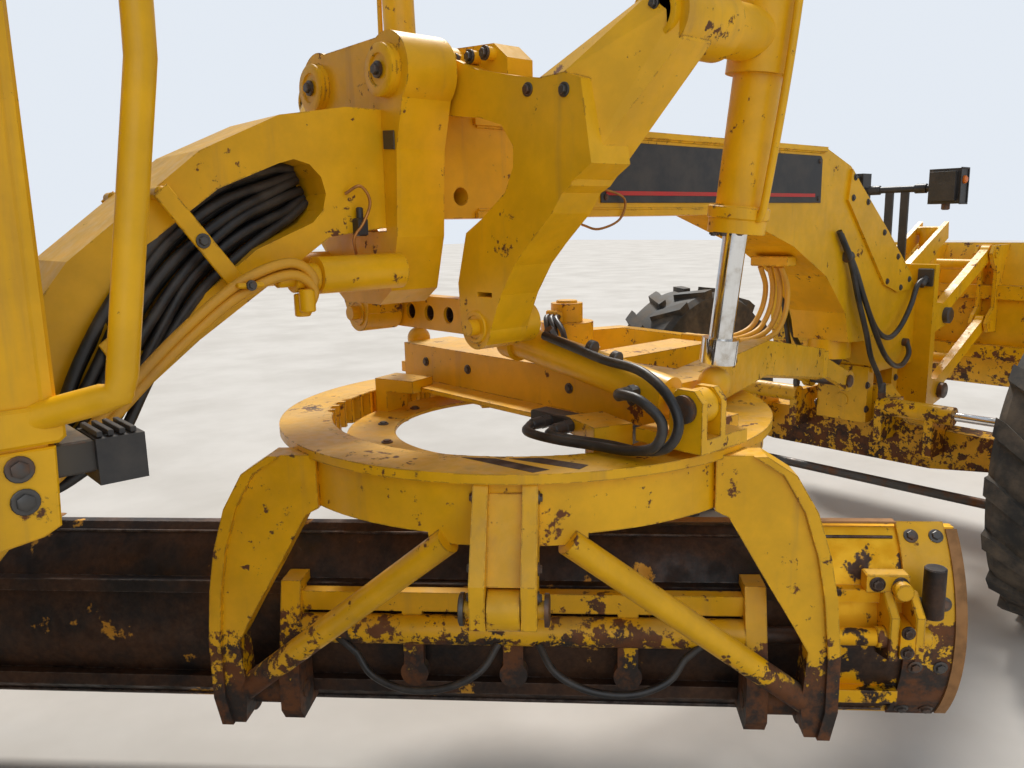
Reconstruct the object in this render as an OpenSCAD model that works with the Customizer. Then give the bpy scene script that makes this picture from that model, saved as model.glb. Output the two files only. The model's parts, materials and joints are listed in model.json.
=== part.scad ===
// Motor grader, cab on the front frame, with a front lift group and a side-shifted blade.
// Millimetres. Z is up from the ground, X points forward and Y to the machine's left.
// Inside machine() the zero is on the ground under the middle of the front axle.

/* [Chassis] */
// Front axle to the middle of the tandem
wheelbase = 5920; // [5700:10:6100]
// Between the two tandem wheels of one side
tandem_pitch = 1522; // [1500:2:1560]
// Between the middles of the left and right tyres
track = 2060; // [2020:5:2100]
// Front axle to the articulation hitch
hitch_back = 4800; // [4740:10:4840]
// Width of the front frame's box beam
beam_w = 280; // [250:5:300]
// Height of the front frame's box beam
beam_h = 275; // [250:5:290]
// Top of the front frame's box beam
beam_top = 2060; // [2040:5:2090]
// Diameter of the hitch pin
hitch_pin_d = 80; // [60:2:100]
// Half the width over the rear frame's rails
rail_half_w = 370; // [350:5:385]

/* [Wheels] */
// Outer diameter over the lugs
tyre_d = 1370; // [1350:2:1380]
// Tyre section width
tyre_w = 360; // [340:2:370]
// Height of the tread lugs
lug_h = 26; // [15:1:34]
// Number of lugs on each side of the tread
lug_count = 18; // [14:1:24]
// Seat of the tyre's bead on the rim
bead_d = 616; // [600:2:640]
// Diameter of the wheel spindles
spindle_d = 90; // [70:2:110]

/* [Cab] */
// Front wall of the cab behind the front axle
cab_front_back = 3860; // [3840:5:3900]
// Length of the cab
cab_l = 1260; // [1220:5:1270]
// Half the width of the cab
cab_half_w = 720; // [680:5:740]
// Underside of the cab's floor
cab_floor_z = 1420; // [1410:5:1440]
// Height of the machine over the cab roof
cab_top = 3310; // [3250:5:3340]
// Thickness of walls and doors
cab_wall = 50; // [40:1:60]

/* [Drawbar] */
// Drawbar ball behind the front axle
ball_back = 300; // [280:5:340]
// Height of the drawbar ball
ball_z = 1100; // [1090:2:1120]
// Diameter of the drawbar ball
ball_d = 130; // [110:2:140]
// Lift cylinder balls behind the front axle
lift_back = 2230; // [2210:5:2250]
// Half the distance between the lift balls
lift_half_w = 700; // [690:5:710]
// Height of the lift balls
lift_z = 1330; // [1325:1:1335]
// Diameter of the lift cylinder rods
lift_rod_d = 63.5; // [50:0.5:70]
// Outer diameter of the lift cylinder barrels
lift_barrel_d = 122; // [110:1:130]
// Height of the lift cylinder trunnions
trunnion_z = 2210; // [2190:5:2230]
// Trunnions' distance from the middle plane
trunnion_half_w = 790; // [780:5:800]

/* [Circle and blade] */
// Circle axis behind the front axle
circle_back = 2300; // [2280:5:2320]
// Outer diameter of the circle
circle_d = 1530; // [1500:5:1540]
// Top of the circle
circle_top = 1175; // [1170:1:1178]
// Height of the circle's ring
circle_h = 90; // [80:2:100]
// Number of teeth inside the circle
circle_teeth = 64; // [48:2:72]
// Angle of the blade from crosswise, right end forward
blade_turn = 44.4; // [40:0.2:48]
// Side shift of the blade to the left
blade_shift = 534; // [500:2:540]
// Length of the moldboard
blade_l = 3658; // [3600:2:3660]
// Height of the moldboard
blade_h = 610; // [580:5:630]
// Radius of the moldboard's curve
blade_r = 413; // [405:1:425]
// Thickness of the moldboard
blade_t = 22; // [18:1:26]
// Moldboard edges behind the circle axis
blade_back = 219; // [210:1:230]
// Lower edge of the moldboard
blade_z = 240; // [230:2:260]
// Height of the cutting edge
edge_h = 152; // [140:2:160]
// Thickness of the cutting edge
edge_t = 16; // [13:1:19]

/* [Front lift group] */
// Length of the lift links
dozer_link_l = 700; // [680:5:710]
// Rise of the links at rest
dozer_rise = 25; // [22:1:27]
// Width of the front blade
dozer_w = 2500; // [2400:10:2540]
// Height of the front blade
dozer_h = 850; // [800:10:870]

/* [Fits] */
// Radial running gap of pins and shafts
run_gap = 0.05; // [0.02:0.01:0.1]
// Gap between pieces that seat on each other
seat_gap = 0.3; // [0.2:0.1:0.5]
// Gap between faces that turn against each other
turn_gap = 2; // [1:0.5:3]

/* [Hidden] */

$fn = 48;

yellow = "#d9a21c";
dark = "#2b2c30";
steel = "#6b6158";
worn = "#8c8a86";
chrome = "#c9ccd0";
rubber = "#33322f";
black = "#222326";
glassy = "#9fb4b8";

// Reach of the machine, which centres its box on the origin
link_pin_x = 470;
lower_pin_z = 850;
upper_pin_z = 1250;
dozer_off = 90;
dozer_t = 14;
dozer_sag = 120;
front_reach = link_pin_x + dozer_link_l * cos(dozer_rise) + dozer_off + dozer_t + dozer_sag;
bumper_back = 1660;
rear_reach = wheelbase + bumper_back;
arc_half = asin(blade_h / 2 / blade_r);
// the cutting edge laps the moldboard by edge_lap and lies along the curve's end
edge_lap = 60;
edge_off = edge_lap * edge_lap / 2 / blade_r + seat_gap;
edge_fwd = (edge_h - edge_lap) * sin(arc_half) + (edge_off + edge_t) * cos(arc_half);
left_reach = (edge_fwd - blade_back) * sin(blade_turn) + (blade_shift + blade_l / 2) * cos(blade_turn);
right_reach = max(track / 2 + tyre_w / 2, dozer_w / 2);
front_x = (rear_reach - front_reach) / 2;
mid_y = -(left_reach - right_reach) / 2;

tyre_r = tyre_d / 2;
wheel_y = track / 2;
beam_bottom = beam_top - beam_h;
circle_r = circle_d / 2;
circle_bottom = circle_top - circle_h;

module machine() { translate([front_x, mid_y, 0]) children(); }
module mirrored() { children(); mirror([0, 1, 0]) children(); }
module side(s) { if (s > 0) children(); else mirror([0, 1, 0]) children(); }
module cyl_y(d, l) { rotate([90, 0, 0]) cylinder(d = d, h = l, center = true); }
module cyl_x(d, l) { rotate([0, 90, 0]) cylinder(d = d, h = l, center = true); }
module box(x0, x1, y0, y1, z0, z1) { translate([x0, y0, z0]) cube([x1 - x0, y1 - y0, z1 - z0]); }
// An outline in X and Z, as thick as t across Y
module plate_xz(pts, t) { rotate([90, 0, 0]) linear_extrude(t, center = true) polygon(pts); }
// An outline in Y and Z, as thick as t along X
module plate_yz(pts, t) { rotate([90, 0, 90]) linear_extrude(t, center = true) polygon(pts); }
// A round bar from p to q
module bar(p, q, d) {
    v = q - p;
    l = norm(v);
    translate(p) rotate([0, acos(v[2] / l), atan2(v[1], v[0])]) cylinder(d = d, h = l);
}
// A flat bar from p to q with round ends in X and Z
module link_xz(p, q, d, t) {
    v = q - p;
    l = norm(v);
    translate([p[0], 0, p[1]]) rotate([0, -atan2(v[1], v[0]), 0]) {
        cyl_y(d, t);
        translate([l, 0, 0]) cyl_y(d, t);
        translate([0, -t / 2, -d * 0.4]) cube([l, t, d * 0.8]);
    }
}

// Front frame: box beam, gooseneck, arch and hitch ears
hitch_top = 1300;
hitch_low = 780;
ear_t = 80;
ear_r = 140;
neck_outline = [[-3000, beam_top], [-677, beam_top], [-450, beam_top - 72], [-40, 1690], [230, 1480],
    [300, 1380], [300, 1010], [-120, 1010], [-230, 1180], [-390, 1190], [-430, 1330], [-620, 1510],
    [-900, 1650], [-1330, beam_bottom], [-2723, beam_bottom], [-3065, 1745], [-3413, 1523],
    [-3577, 1400], [-3710, 1275], [-3960, 1010], [-4160, 870], [-4300, 800], [-4520, 780],
    [-4520, 1300], [-4000, 1320], [-3870, 1400], [-3800, 1545], [-3670, 1710], [-3375, 1942],
    [-3180, 2030]];
hose_hole = [[-3150, 1850], [-3300, 1790], [-3440, 1690], [-3530, 1590]];
hose_hole_r = 80;
web_t = 24;
bracket_x = [-4020, -4700];
module front_frame() {
    machine() color(yellow) difference() {
        union() {
            plate_xz(neck_outline, beam_w);
            // flanges along the beam's top and bottom
            box(-2600, -677, -beam_w / 2 - 12, beam_w / 2 + 12, beam_top - 20, beam_top);
            box(-2600, -1330, -beam_w / 2 - 12, beam_w / 2 + 12, beam_bottom, beam_bottom + 20);
            // hitch ears, pin and cap
            for (z = [hitch_low, hitch_top - ear_t]) translate([0, 0, z]) {
                translate([-hitch_back, 0, 0]) cylinder(r = ear_r, h = ear_t);
                translate([-hitch_back, -ear_r, 0]) cube([hitch_back - 4500, 2 * ear_r, ear_t]);
            }
            translate([-hitch_back, 0, hitch_low - 20])
                cylinder(d = hitch_pin_d, h = hitch_top - hitch_low + 40);
            // cab brackets across the frame
            for (x = bracket_x) translate([x - 60, -600, cab_floor_z - 90]) cube([120, 1200, 90]);
            box(-4080, -3960, -beam_w / 2, beam_w / 2, 1250, cab_floor_z - 80);
            box(-4760, -4640, -beam_w / 2, beam_w / 2, hitch_top - ear_t, cab_floor_z - 80);
            // swing cylinder barrels and their brackets
            mirrored() {
                translate([-4255, swing_y, swing_z]) cyl_x(100, 430);
                box(-4100, -4040, 100, swing_y + 20, swing_z - 60, swing_z + 60);
            }
            // drawbar socket housing
            translate([-ball_back, 0, ball_z]) cylinder(r = 100, h = 95);
            // front bolster with its cheeks over the axle
            for (x = [-150, 110]) box(x, x + 60, -130, 130, 760, 1040);
            // axle pivot pin
            translate([10, 0, axle_pivot_z]) cyl_x(70, 330);
            // gooseneck cover plate
            mirrored() translate([0, beam_w / 2 + 6, 0])
                plate_xz([[-480, 1840], [-455, 1975], [-60, 1675], [210, 1465], [200, 1400], [60, 1395],
                    [-80, 1440]], 14);
            // tread plate on the neck's slope
            box(-2560, -2480, -110, 110, beam_top, beam_top + 14);
        }
        // opening through which the hoses leave the frame
        mirrored() translate([0, web_t / 2, 0]) rotate([-90, 0, 0]) linear_extrude(200)
            for (i = [0:2]) hull() for (p = [hose_hole[i], hose_hole[i + 1]])
                translate([p[0], -p[1]]) circle(r = hose_hole_r, $fn = 12);
        // socket of the drawbar ball
        translate([-ball_back, 0, ball_z]) sphere(d = ball_d + 2 * seat_gap, $fn = 64);
        translate([-ball_back, 0, ball_z - 100]) cylinder(d = ball_d + 2 * seat_gap, h = 100);
        // bores that the saddle's locking pin and tools reach
        translate([-2650, 0, beam_bottom + 60]) cyl_y(50, 400);
        // bores of the swing barrels
        mirrored() translate([-4270, swing_y, swing_z]) cyl_x(swing_rod_d + 2 * run_gap, 420);
    }
}
swing_y = 420;
swing_z = 1040;
swing_rod_d = 50;
swing_eye_x = -hitch_back;
axle_pivot_z = 860;

// Saddle, bell cranks and link bar that carry the lift cylinders
saddle_x = -2825;
saddle_t = 150;
crank_t = 130;
crank_x = saddle_x + saddle_t / 2 + 12 + crank_t / 2;
crank_pivot = [175, 2150];
crank_low = [300, 1500];
module lift_saddle() {
    machine() color(yellow) {
        difference() {
            union() {
                translate([saddle_x, 0, 0]) plate_yz([[-250, 2120], [-175, 2235], [175, 2235], [250, 2120],
                    [205, 1960], [190, 1740], [150, 1600], [90, 1560], [-90, 1560], [-150, 1600], [-190, 1740],
                    [-205, 1960]], saddle_t);
                // round heads over the pivots
                mirrored() translate([saddle_x, crank_pivot[0], crank_pivot[1]]) cyl_x(190, saddle_t);
            }
            box(saddle_x - saddle_t, saddle_x + saddle_t, -beam_w / 2 - seat_gap,
                beam_w / 2 + seat_gap, beam_bottom - 30 - seat_gap, beam_top + seat_gap);
        }
        mirrored() {
            // boss and pin that the bell crank turns on
            translate([saddle_x, crank_pivot[0], crank_pivot[1]]) cyl_x(130, saddle_t + 24);
            translate([crank_x - 40, crank_pivot[0], crank_pivot[1]]) cyl_x(50, crank_t + 90);
            // locking pin housing
            translate([saddle_x - 190, beam_w / 2 + 46, 1655]) cyl_x(90, 240);
        }
    }
}
module lift_arm(s) {
    side(s) difference() {
        union() {
            translate([crank_x, 0, 0]) plate_yz(crank_outline, crank_t);
            // outer end, bent forward to the yoke
            hull() {
                translate([crank_x, 0, 0]) plate_yz([[560, 2096], [640, 2098], [660, 1850], [560, 1800]], crank_t);
                translate([crank_x + 135, 0, 0]) plate_yz([[720, 2240], [trunnion_half_w, 2275], [850, 2230],
                    [850, 2150], [770, 2080]], 100);
            }
            // bearing cap
            translate([crank_x + 20, 0, 0]) plate_yz([[190, 2140], [190, 2222], [350, 2210], [400, 2170], [400, 2110]], 84);
            for (y = [225, 285, 345]) translate([crank_x - 32, y, 2185]) cyl_x(32, 30);
            translate([crank_x, crank_pivot[0], crank_pivot[1]]) cyl_x(150, crank_t);
            translate([crank_x, crank_low[0], crank_low[1]]) cyl_x(120, crank_t);
            // boss that holds the cylinder's yoke
            translate([(yoke_x + disc_x) / 2, trunnion_half_w, trunnion_z]) cyl_x(160, yoke_x - disc_x);
            translate([disc_x - 6, trunnion_half_w, trunnion_z]) cyl_x(116, 20);
        }
        translate([crank_x, crank_pivot[0], crank_pivot[1]]) cyl_x(50 + 2 * run_gap, 400);
        translate([crank_x, crank_low[0], crank_low[1]]) cyl_x(44 + 2 * run_gap, 400);
        // slot over the lower boss
        translate([crank_x, 0, 0]) box(-100, 100, crank_low[0] + 10, crank_low[0] + 70, crank_low[1] + 82,
            crank_low[1] + 94);
        // seat of the yoke's trunnion
        translate([yoke_x - 60, trunnion_half_w, trunnion_z]) cyl_x(60 + 2 * run_gap, 240);
    }
}
disc_x = crank_x + 80;
crank_outline = [[110, 2190], [150, 2215], [200, 2201], [333, 2146], [475, 2112], [560, 2096], [640, 2098],
    [690, 2080], [722, 1896], [638, 1845], [595, 1789], [513, 1718], [459, 1666], [405, 1589], [362, 1500],
    [342, 1455], [300, 1442], [238, 1500], [230, 1614], [270, 1746], [340, 1783], [430, 1844], [462, 1903], [463, 1952],
    [422, 2005], [340, 2030], [200, 2050], [110, 2090]];
module lift_arms() { machine() color(yellow) { lift_arm(1); lift_arm(-1); } }
module link_bar() {
    machine() color(yellow) {
        difference() {
            union() {
                translate([link_bar_x, 0, 0]) plate_yz([[-crank_low[0], 1448], [crank_low[0], 1448],
                    [crank_low[0], 1552], [-crank_low[0], 1552]], link_bar_t);
                mirrored() translate([link_bar_x, crank_low[0], crank_low[1]]) cyl_x(110, link_bar_t);
            }
            for (i = [-2:2]) translate([link_bar_x, i * 100, 1500]) cyl_x(50, 100);
        }
        mirrored() translate([crank_x, crank_low[0], crank_low[1]]) cyl_x(44, crank_t + 60);
        // ear for the centre shift cylinder
        translate([link_bar_x, shift_top[1], shift_top[2]]) rotate([0, 90, 0])
            cylinder(d = 60, h = shift_top[0] + 15 - link_bar_x);
    }
}
link_bar_x = crank_x + crank_t / 2 + 30;
link_bar_t = 50;

// Front axle with kingpin bosses and steering cylinder barrels
king_y = 800;
king_d = 60;
axle_z = tyre_r;
arm_back = 190;
steer_z = 868;
steer_rod_d = 40;
steer_barrel_y = [210, 560];
module front_axle() {
    machine() color(yellow) difference() {
        union() {
            plate_yz([[-720, 610], [-720, 760], [-300, 770], [-150, 930], [150, 930], [300, 770], [720, 760],
                [720, 610], [420, 570], [-420, 570]], 140);
            mirrored() translate([0, king_y, 0]) {
                translate([0, 0, 575]) cylinder(r = 66, h = 220);
                translate([-50, -110, 600]) cube([100, 80, 160]);
            }
            mirrored() {
                translate([-arm_back, (steer_barrel_y[0] + steer_barrel_y[1]) / 2, steer_z])
                    cyl_y(84, steer_barrel_y[1] - steer_barrel_y[0]);
                box(-arm_back - 30, 0, steer_barrel_y[0] - 5, steer_barrel_y[0] + 35, 700, steer_z + 20);
                box(-arm_back - 30, 0, 440, 480, 660, steer_z - 20);
            }
        }
        mirrored() translate([0, king_y, 500]) cylinder(d = king_d + 2 * run_gap, h = 400);
        mirrored() translate([-arm_back, 400, steer_z]) cyl_y(steer_rod_d + 2 * run_gap, 340);
        translate([0, 0, axle_pivot_z]) cyl_x(70 + 2 * seat_gap, 400);
    }
}
module knuckle(s) {
    machine() color(yellow) side(s) {
        translate([0, king_y, 0]) {
            for (z = [797, 533]) translate([0, 0, z]) {
                cylinder(r = 62, h = 40);
                translate([-50, 0, 0]) cube([100, 122, 40]);
            }
            translate([0, 0, 540]) cylinder(d = king_d, h = 290);
            box(-70, 70, 82, 122, 533, 837);
            // spindle and its flange
            translate([0, 122 + 105, axle_z]) cyl_y(spindle_d, 210);
            translate([0, 122 + 10, axle_z]) cyl_y(150, 20);
            // steering arm with the rod's stud
            box(-arm_back - 35, -20, -28, 28, 810, 837);
            translate([-arm_back, 0, 785]) cylinder(d = 40, h = 45);
            // tie rod arm
            box(-tie_back - 30, -20, -28, 28, 533, 560);
        }
    }
}
tie_back = 230;
tie_z = 505;
module tie_rod() {
    machine() color(steel) {
        translate([-tie_back, 0, tie_z]) cyl_y(44, 2 * king_y);
        mirrored() translate([-tie_back, king_y, tie_z - 22]) cylinder(d = 56, h = 40);
        mirrored() translate([-tie_back, king_y, tie_z]) cylinder(d = 30, h = 533 - seat_gap - tie_z);
    }
}
module steer_rod(s) {
    machine() color(chrome) side(s) {
        translate([-arm_back, (390 + king_y) / 2, steer_z]) cyl_y(steer_rod_d, king_y - 390);
        translate([-arm_back, king_y, steer_z - 24]) cylinder(d = 62, h = 48);
    }
}
module swing_rod(s) {
    machine() color(chrome) side(s) {
        translate([(swing_eye_x - 4250) / 2, swing_y, swing_z]) cyl_x(swing_rod_d, -swing_eye_x - 4250);
        translate([swing_eye_x, swing_y, swing_z]) cylinder(d = 84, h = 60, center = true);
    }
}

// Rear frame, engine, hood and tandem
rail_front = 5150;
hood_front = 5390;
hood_back = 7380;
hood_w = 840;
hood_z = [1200 + seat_gap, 2100];
hood_t = 25;
module rear_frame() {
    machine() color(dark) difference() {
        union() {
            translate([-hitch_back, 0, hitch_low + ear_t + turn_gap])
                cylinder(r = 115, h = hitch_top - hitch_low - 2 * ear_t - 2 * turn_gap);
            box(-rail_front - 150, -hitch_back - 60, -110, 110, 880, 1200);
            box(-rail_front - 150, -rail_front, -rail_half_w, rail_half_w, 950, 1200);
            mirrored() {
                box(-rear_reach + 80, -rail_front, rail_half_w - 80, rail_half_w, 950, 1200);
                // ears for the swing rods
                for (z = [swing_z + 33, swing_z - 63]) {
                    translate([swing_eye_x, swing_y, z]) cylinder(r = 50, h = 30);
                    box(-rail_front - 20, swing_eye_x, swing_y - 50, swing_y + 50, z, z + 30);
                }
                box(-rail_front - 140, -rail_front - 10, rail_half_w - 10, swing_y + 50, 960, 1190);
            }
            // ledges that the hood stands on
            mirrored() box(-hood_back, -hood_front, rail_half_w - 10, hood_w / 2 + 5, 1180, 1200);
            box(-hood_back, -hood_back + 60, -hood_w / 2, hood_w / 2, 1180, 1200);
            for (x = [-5920, -6700]) box(x - 60, x + 60, -rail_half_w + 5, rail_half_w - 5, 960, 1100);
            // axle saddle under the rails
            mirrored() box(-wheelbase - 160, -wheelbase + 160, rail_half_w - 80, rail_half_w,
                axle_z + 150 + seat_gap, 960);
            // bumper and tow block
            box(-rear_reach, -rear_reach + 90, -900, 900, 820, 1180);
            box(-rear_reach + 60, -rear_reach + 260, -120, 120, 880, 1120);
        }
        // tow pin hole
        translate([-rear_reach + 45, 0, 0]) {
            box(-60, 60, -70, 70, 960, 1040);
            translate([0, 0, 700]) cylinder(d = 44, h = 600);
        }
        translate([-hitch_back, 0, 700]) cylinder(d = hitch_pin_d + 2 * run_gap, h = 700);
    }
}
module tandem_axle() {
    machine() color(yellow) {
        translate([-wheelbase, 0, axle_z]) {
            cyl_y(300, 2 * tandem_in + 2);
            mirrored() {
                translate([0, (tandem_in + tandem_out) / 2, 0]) rotate([90, 0, 0])
                    linear_extrude(tandem_out - tandem_in, center = true) hull() {
                        translate([-tandem_pitch / 2, 0]) circle(r = 230);
                        translate([0, 20]) circle(r = 290);
                        translate([tandem_pitch / 2, 0]) circle(r = 230);
                    }
                for (x = [-tandem_pitch / 2, tandem_pitch / 2]) {
                    translate([x, tandem_out + 25, 0]) cyl_y(260, 52);
                    translate([x, (tandem_out + wheel_spindle_end) / 2, 0])
                        cyl_y(spindle_d, wheel_spindle_end - tandem_out + 2);
                }
            }
        }
    }
}
tandem_in = 590;
tandem_out = 790;
wheel_spindle_end = king_y + 122 + 210;
module engine() {
    machine() color(steel) box(-6950, -5750, -260, 260, 1100 + seat_gap, 1900);
}
module hood() {
    machine() color(yellow) difference() {
        plate_xz([[-hood_front, hood_z[0]], [-hood_front, hood_z[1] - 60], [-hood_front - 120, hood_z[1]],
            [-hood_back + 60, hood_z[1] - 120], [-hood_back, hood_z[1] - 200], [-hood_back, hood_z[0]]], hood_w);
        plate_xz([[-hood_front - hood_t, hood_z[0] - 1], [-hood_front - hood_t, hood_z[1] - 60 - hood_t],
            [-hood_front - 130, hood_z[1] - hood_t], [-hood_back + 60 + hood_t, hood_z[1] - 120 - hood_t],
            [-hood_back + hood_t, hood_z[1] - 215], [-hood_back + hood_t, hood_z[0] - 1]], hood_w - 2 * hood_t);
        box(-door_x[1], -door_x[0], -hood_w, hood_w, door_z[0], door_z[1]);
        box(-hood_back - 10, -hood_back + 50, -340, 340, 1300, 1820);
        translate([stack_x, stack_y, 1900]) cylinder(d = 150, h = 400);
    }
    machine() color(yellow) mirrored() for (x = engine_hinge_x) {
        box(x - 30, x, hood_w / 2 - 10, hood_w / 2 + 22, door_z[1] + 2, door_z[1] + 30);
        translate([x - 15, engine_hinge_y, engine_hinge_z]) cyl_x(22, 30);
        translate([x + 12, engine_hinge_y, engine_hinge_z]) cyl_x(12, 80);
    }
}
stack_x = -5900;
stack_y = -190;
door_x = [5480, 7180];
door_z = [1300, 1900];
door_gap = 6;
engine_hinge_x = [-5700, -6330, -6960];
engine_hinge_z = door_z[1] - 4;
engine_hinge_y = hood_w / 2 + 12;
module engine_door(s) {
    machine() color(yellow) side(s) {
        difference() {
            union() {
                box(-door_x[1] + door_gap, -door_x[0] - door_gap, hood_w / 2 - hood_t, hood_w / 2,
                    door_z[0] + door_gap, door_z[1] - door_gap);
                for (x = engine_hinge_x) {
                    translate([x + 27, engine_hinge_y, engine_hinge_z]) cyl_x(22, 50);
                    box(x + 2, x + 52, hood_w / 2 - 5, hood_w / 2 + 18, engine_hinge_z - 60, engine_hinge_z - 4);
                }
            }
            for (x = engine_hinge_x) translate([x + 27, engine_hinge_y, engine_hinge_z])
                cyl_x(12 + 2 * run_gap, 60);
            // louvres
            for (i = [0:8]) box(-door_x[1] + 180, -door_x[1] + 700, hood_w / 2 - hood_t - 1, hood_w / 2 + 1,
                door_z[0] + 90 + i * 48, door_z[0] + 108 + i * 48);
        }
    }
}
module rear_grille() {
    machine() color(black) difference() {
        box(-hood_back + seat_gap, -hood_back + hood_t, -340 + seat_gap, 340 - seat_gap, 1300 + seat_gap,
            1820 - seat_gap);
        for (i = [0:11], j = [-1:1]) box(-hood_back - 5, -hood_back + hood_t + 5, j * 215 - 90, j * 215 + 90,
            1330 + i * 40, 1350 + i * 40);
    }
}
module exhaust() {
    machine() color(steel) {
        translate([stack_x, stack_y, 1900 + seat_gap]) cylinder(d = 90, h = 880);
        translate([stack_x, stack_y, hood_z[1] + 120]) cylinder(d = 170, h = 380);
        translate([stack_x, stack_y, 2780 + seat_gap]) {
            rotate([0, -40, 0]) translate([0, 0, -20]) cylinder(d = 84, h = 150);
        }
    }
}

// Cab on the front frame
cab_x1 = -cab_front_back;
cab_x0 = -cab_front_back - cab_l;
sill_z = cab_floor_z + 50;
roof_z = cab_top - 150;
cab_door_x = [cab_x0 + 170, cab_x1 - 140];
cab_door_z = [sill_z + 60, roof_z - 90];
step_x = [-4136, -3915];
module cab_floor() {
    machine() {
        color(dark) {
            box(cab_x0, cab_x1 - 5, -cab_half_w, cab_half_w, cab_floor_z, sill_z);
            mirrored() box(cab_x1 - 10, cab_x1 + 60, 500, cab_half_w, cab_floor_z, sill_z - seat_gap);
            // steps at both sides
            mirrored() {
                for (x = step_x) box(x - 24, x, cab_half_w - 20, cab_half_w + 130, 1130, cab_floor_z + 1);
                for (z = [1130, 1275]) box(step_x[0] - 24, step_x[1], cab_half_w - 20, cab_half_w + 130, z, z + 24);
            }
            // console and steering column
            box(cab_x1 - 420, cab_x1 - 140, -180, 180, sill_z, sill_z + 260);
            bar([cab_x1 - 260, 0, sill_z + 200], [cab_x1 - 400, 0, sill_z + 640], 90);
            translate([cab_x1 - 400, 0, sill_z + 640]) rotate([0, -18, 0]) rotate_extrude()
                translate([190, 0]) circle(r = 15);
            translate([cab_x1 - 400, 0, sill_z + 640]) rotate([0, -18, 0]) cube([370, 30, 20], center = true);
            // seat pedestal
            box(cab_x0 + 230, cab_x0 + 560, -180, 180, sill_z, sill_z + 260);
        }
    }
}
rail_d = 32;
rail_path = [[cab_x1 - 10, cab_half_w - 12, 1512], [-3775, cab_half_w + 70, 1545], [-3702, cab_half_w + 70, 2000],
    [-3690, cab_half_w + 70, 2700], [cab_x1 - 10, cab_half_w - 12, 2770]];
module cab_shell() {
    machine() color(yellow) difference() {
        union() {
            box(cab_x0, cab_x1, -cab_half_w, cab_half_w, sill_z, roof_z);
            // hand rails beside the front corners
            mirrored() {
                for (i = [0:len(rail_path) - 2]) bar(rail_path[i], rail_path[i + 1], rail_d);
                for (i = [1:len(rail_path) - 2]) translate(rail_path[i]) sphere(d = rail_d + 5);
                // door hinges: bracket and pin
                for (z = cab_hinge_z) {
                    box(cab_door_x[0] - 50, cab_door_x[0] - 4, cab_half_w - 10, cab_half_w + 24, z - 24, z);
                    box(cab_door_x[0] - 6, cab_door_x[0] + door_gap + 10, cab_half_w + 6, cab_half_w + 24, z - 24, z);
                    translate([cab_door_x[0] + door_gap, cab_half_w + hinge_out, z - 10])
                        cylinder(d = hinge_pin_d, h = 56);
                }
            }
        }
        box(cab_x0 + cab_wall, cab_x1 - cab_wall, -cab_half_w + cab_wall, cab_half_w - cab_wall, sill_z - 1,
            roof_z + 1);
        // door openings
        box(cab_door_x[0], cab_door_x[1], -cab_half_w - 1, cab_half_w + 1, cab_door_z[0], cab_door_z[1]);
        // front and rear windows
        box(cab_x1 - 100, cab_x1 + 10, -cab_half_w + 90, cab_half_w - 90, sill_z + 340, roof_z - 90);
        box(cab_x1 - 100, cab_x1 + 10, -cab_half_w + 90, cab_half_w - 90, sill_z + 60, sill_z + 290);
        box(cab_x0 - 10, cab_x0 + 100, -cab_half_w + 90, cab_half_w - 90, sill_z + 560, roof_z - 90);
    }
}
module cab_roof() {
    machine() color(yellow) {
        hull() {
            box(cab_x0 - 20, cab_x1 + 90, -cab_half_w - 20, cab_half_w + 20, roof_z, roof_z + 90);
            box(cab_x0 + 40, cab_x1 + 20, -cab_half_w + 40, cab_half_w - 40, roof_z, cab_top);
        }
    }
}
module pane(x0, x1, y0, y1, z0, z1) {
    box(x0 + seat_gap, x1 - seat_gap, y0 + seat_gap, y1 - seat_gap, z0 + seat_gap, z1 - seat_gap);
}
module cab_glass() {
    machine() color(glassy, 0.4) {
        w = cab_half_w - 90;
        pane(cab_x1 - 30, cab_x1 - 22, -w, w, sill_z + 340, roof_z - 90);
        pane(cab_x1 - 30, cab_x1 - 22, -w, w, sill_z + 60, sill_z + 290);
        pane(cab_x0 + 22, cab_x0 + 30, -w, w, sill_z + 560, roof_z - 90);
    }
}
cab_hinge_z = [1700, 2280, 2860];
hinge_out = 14;
hinge_pin_d = 14;
module cab_door(s) {
    machine() color(yellow) side(s) difference() {
        union() {
            for (z = cab_hinge_z) translate([cab_door_x[0] + door_gap, cab_half_w, z + turn_gap]) {
                translate([0, hinge_out, 0]) cylinder(d = 24, h = 40);
                translate([0, -5, 0]) cube([60, 5 + hinge_out, 40]);
            }
            box(cab_door_x[0] + door_gap, cab_door_x[1] - door_gap, cab_half_w - cab_wall, cab_half_w,
            cab_door_z[0] + door_gap, cab_door_z[1] - door_gap);
        }
        for (z = cab_hinge_z) translate([cab_door_x[0] + door_gap, cab_half_w + hinge_out, z - 10])
            cylinder(d = hinge_pin_d + 2 * run_gap, h = 80);
        box(cab_door_x[0] + 80, cab_door_x[1] - 80, 0, cab_half_w + 10, cab_door_z[0] + 120,
            cab_door_z[0] + 520);
        box(cab_door_x[0] + 80, cab_door_x[1] - 80, 0, cab_half_w + 10, cab_door_z[0] + 590,
            cab_door_z[1] - 80);
    }
}
module seat() {
    machine() color(black) {
        box(cab_x0 + 180, cab_x0 + 660, -240, 240, sill_z + 260 + seat_gap, sill_z + 390);
        plate_xz([[cab_x0 + 180, sill_z + 390], [cab_x0 + 290, sill_z + 390], [cab_x0 + 200, sill_z + 1000],
            [cab_x0 + 100, sill_z + 980]], 440);
    }
}

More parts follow.
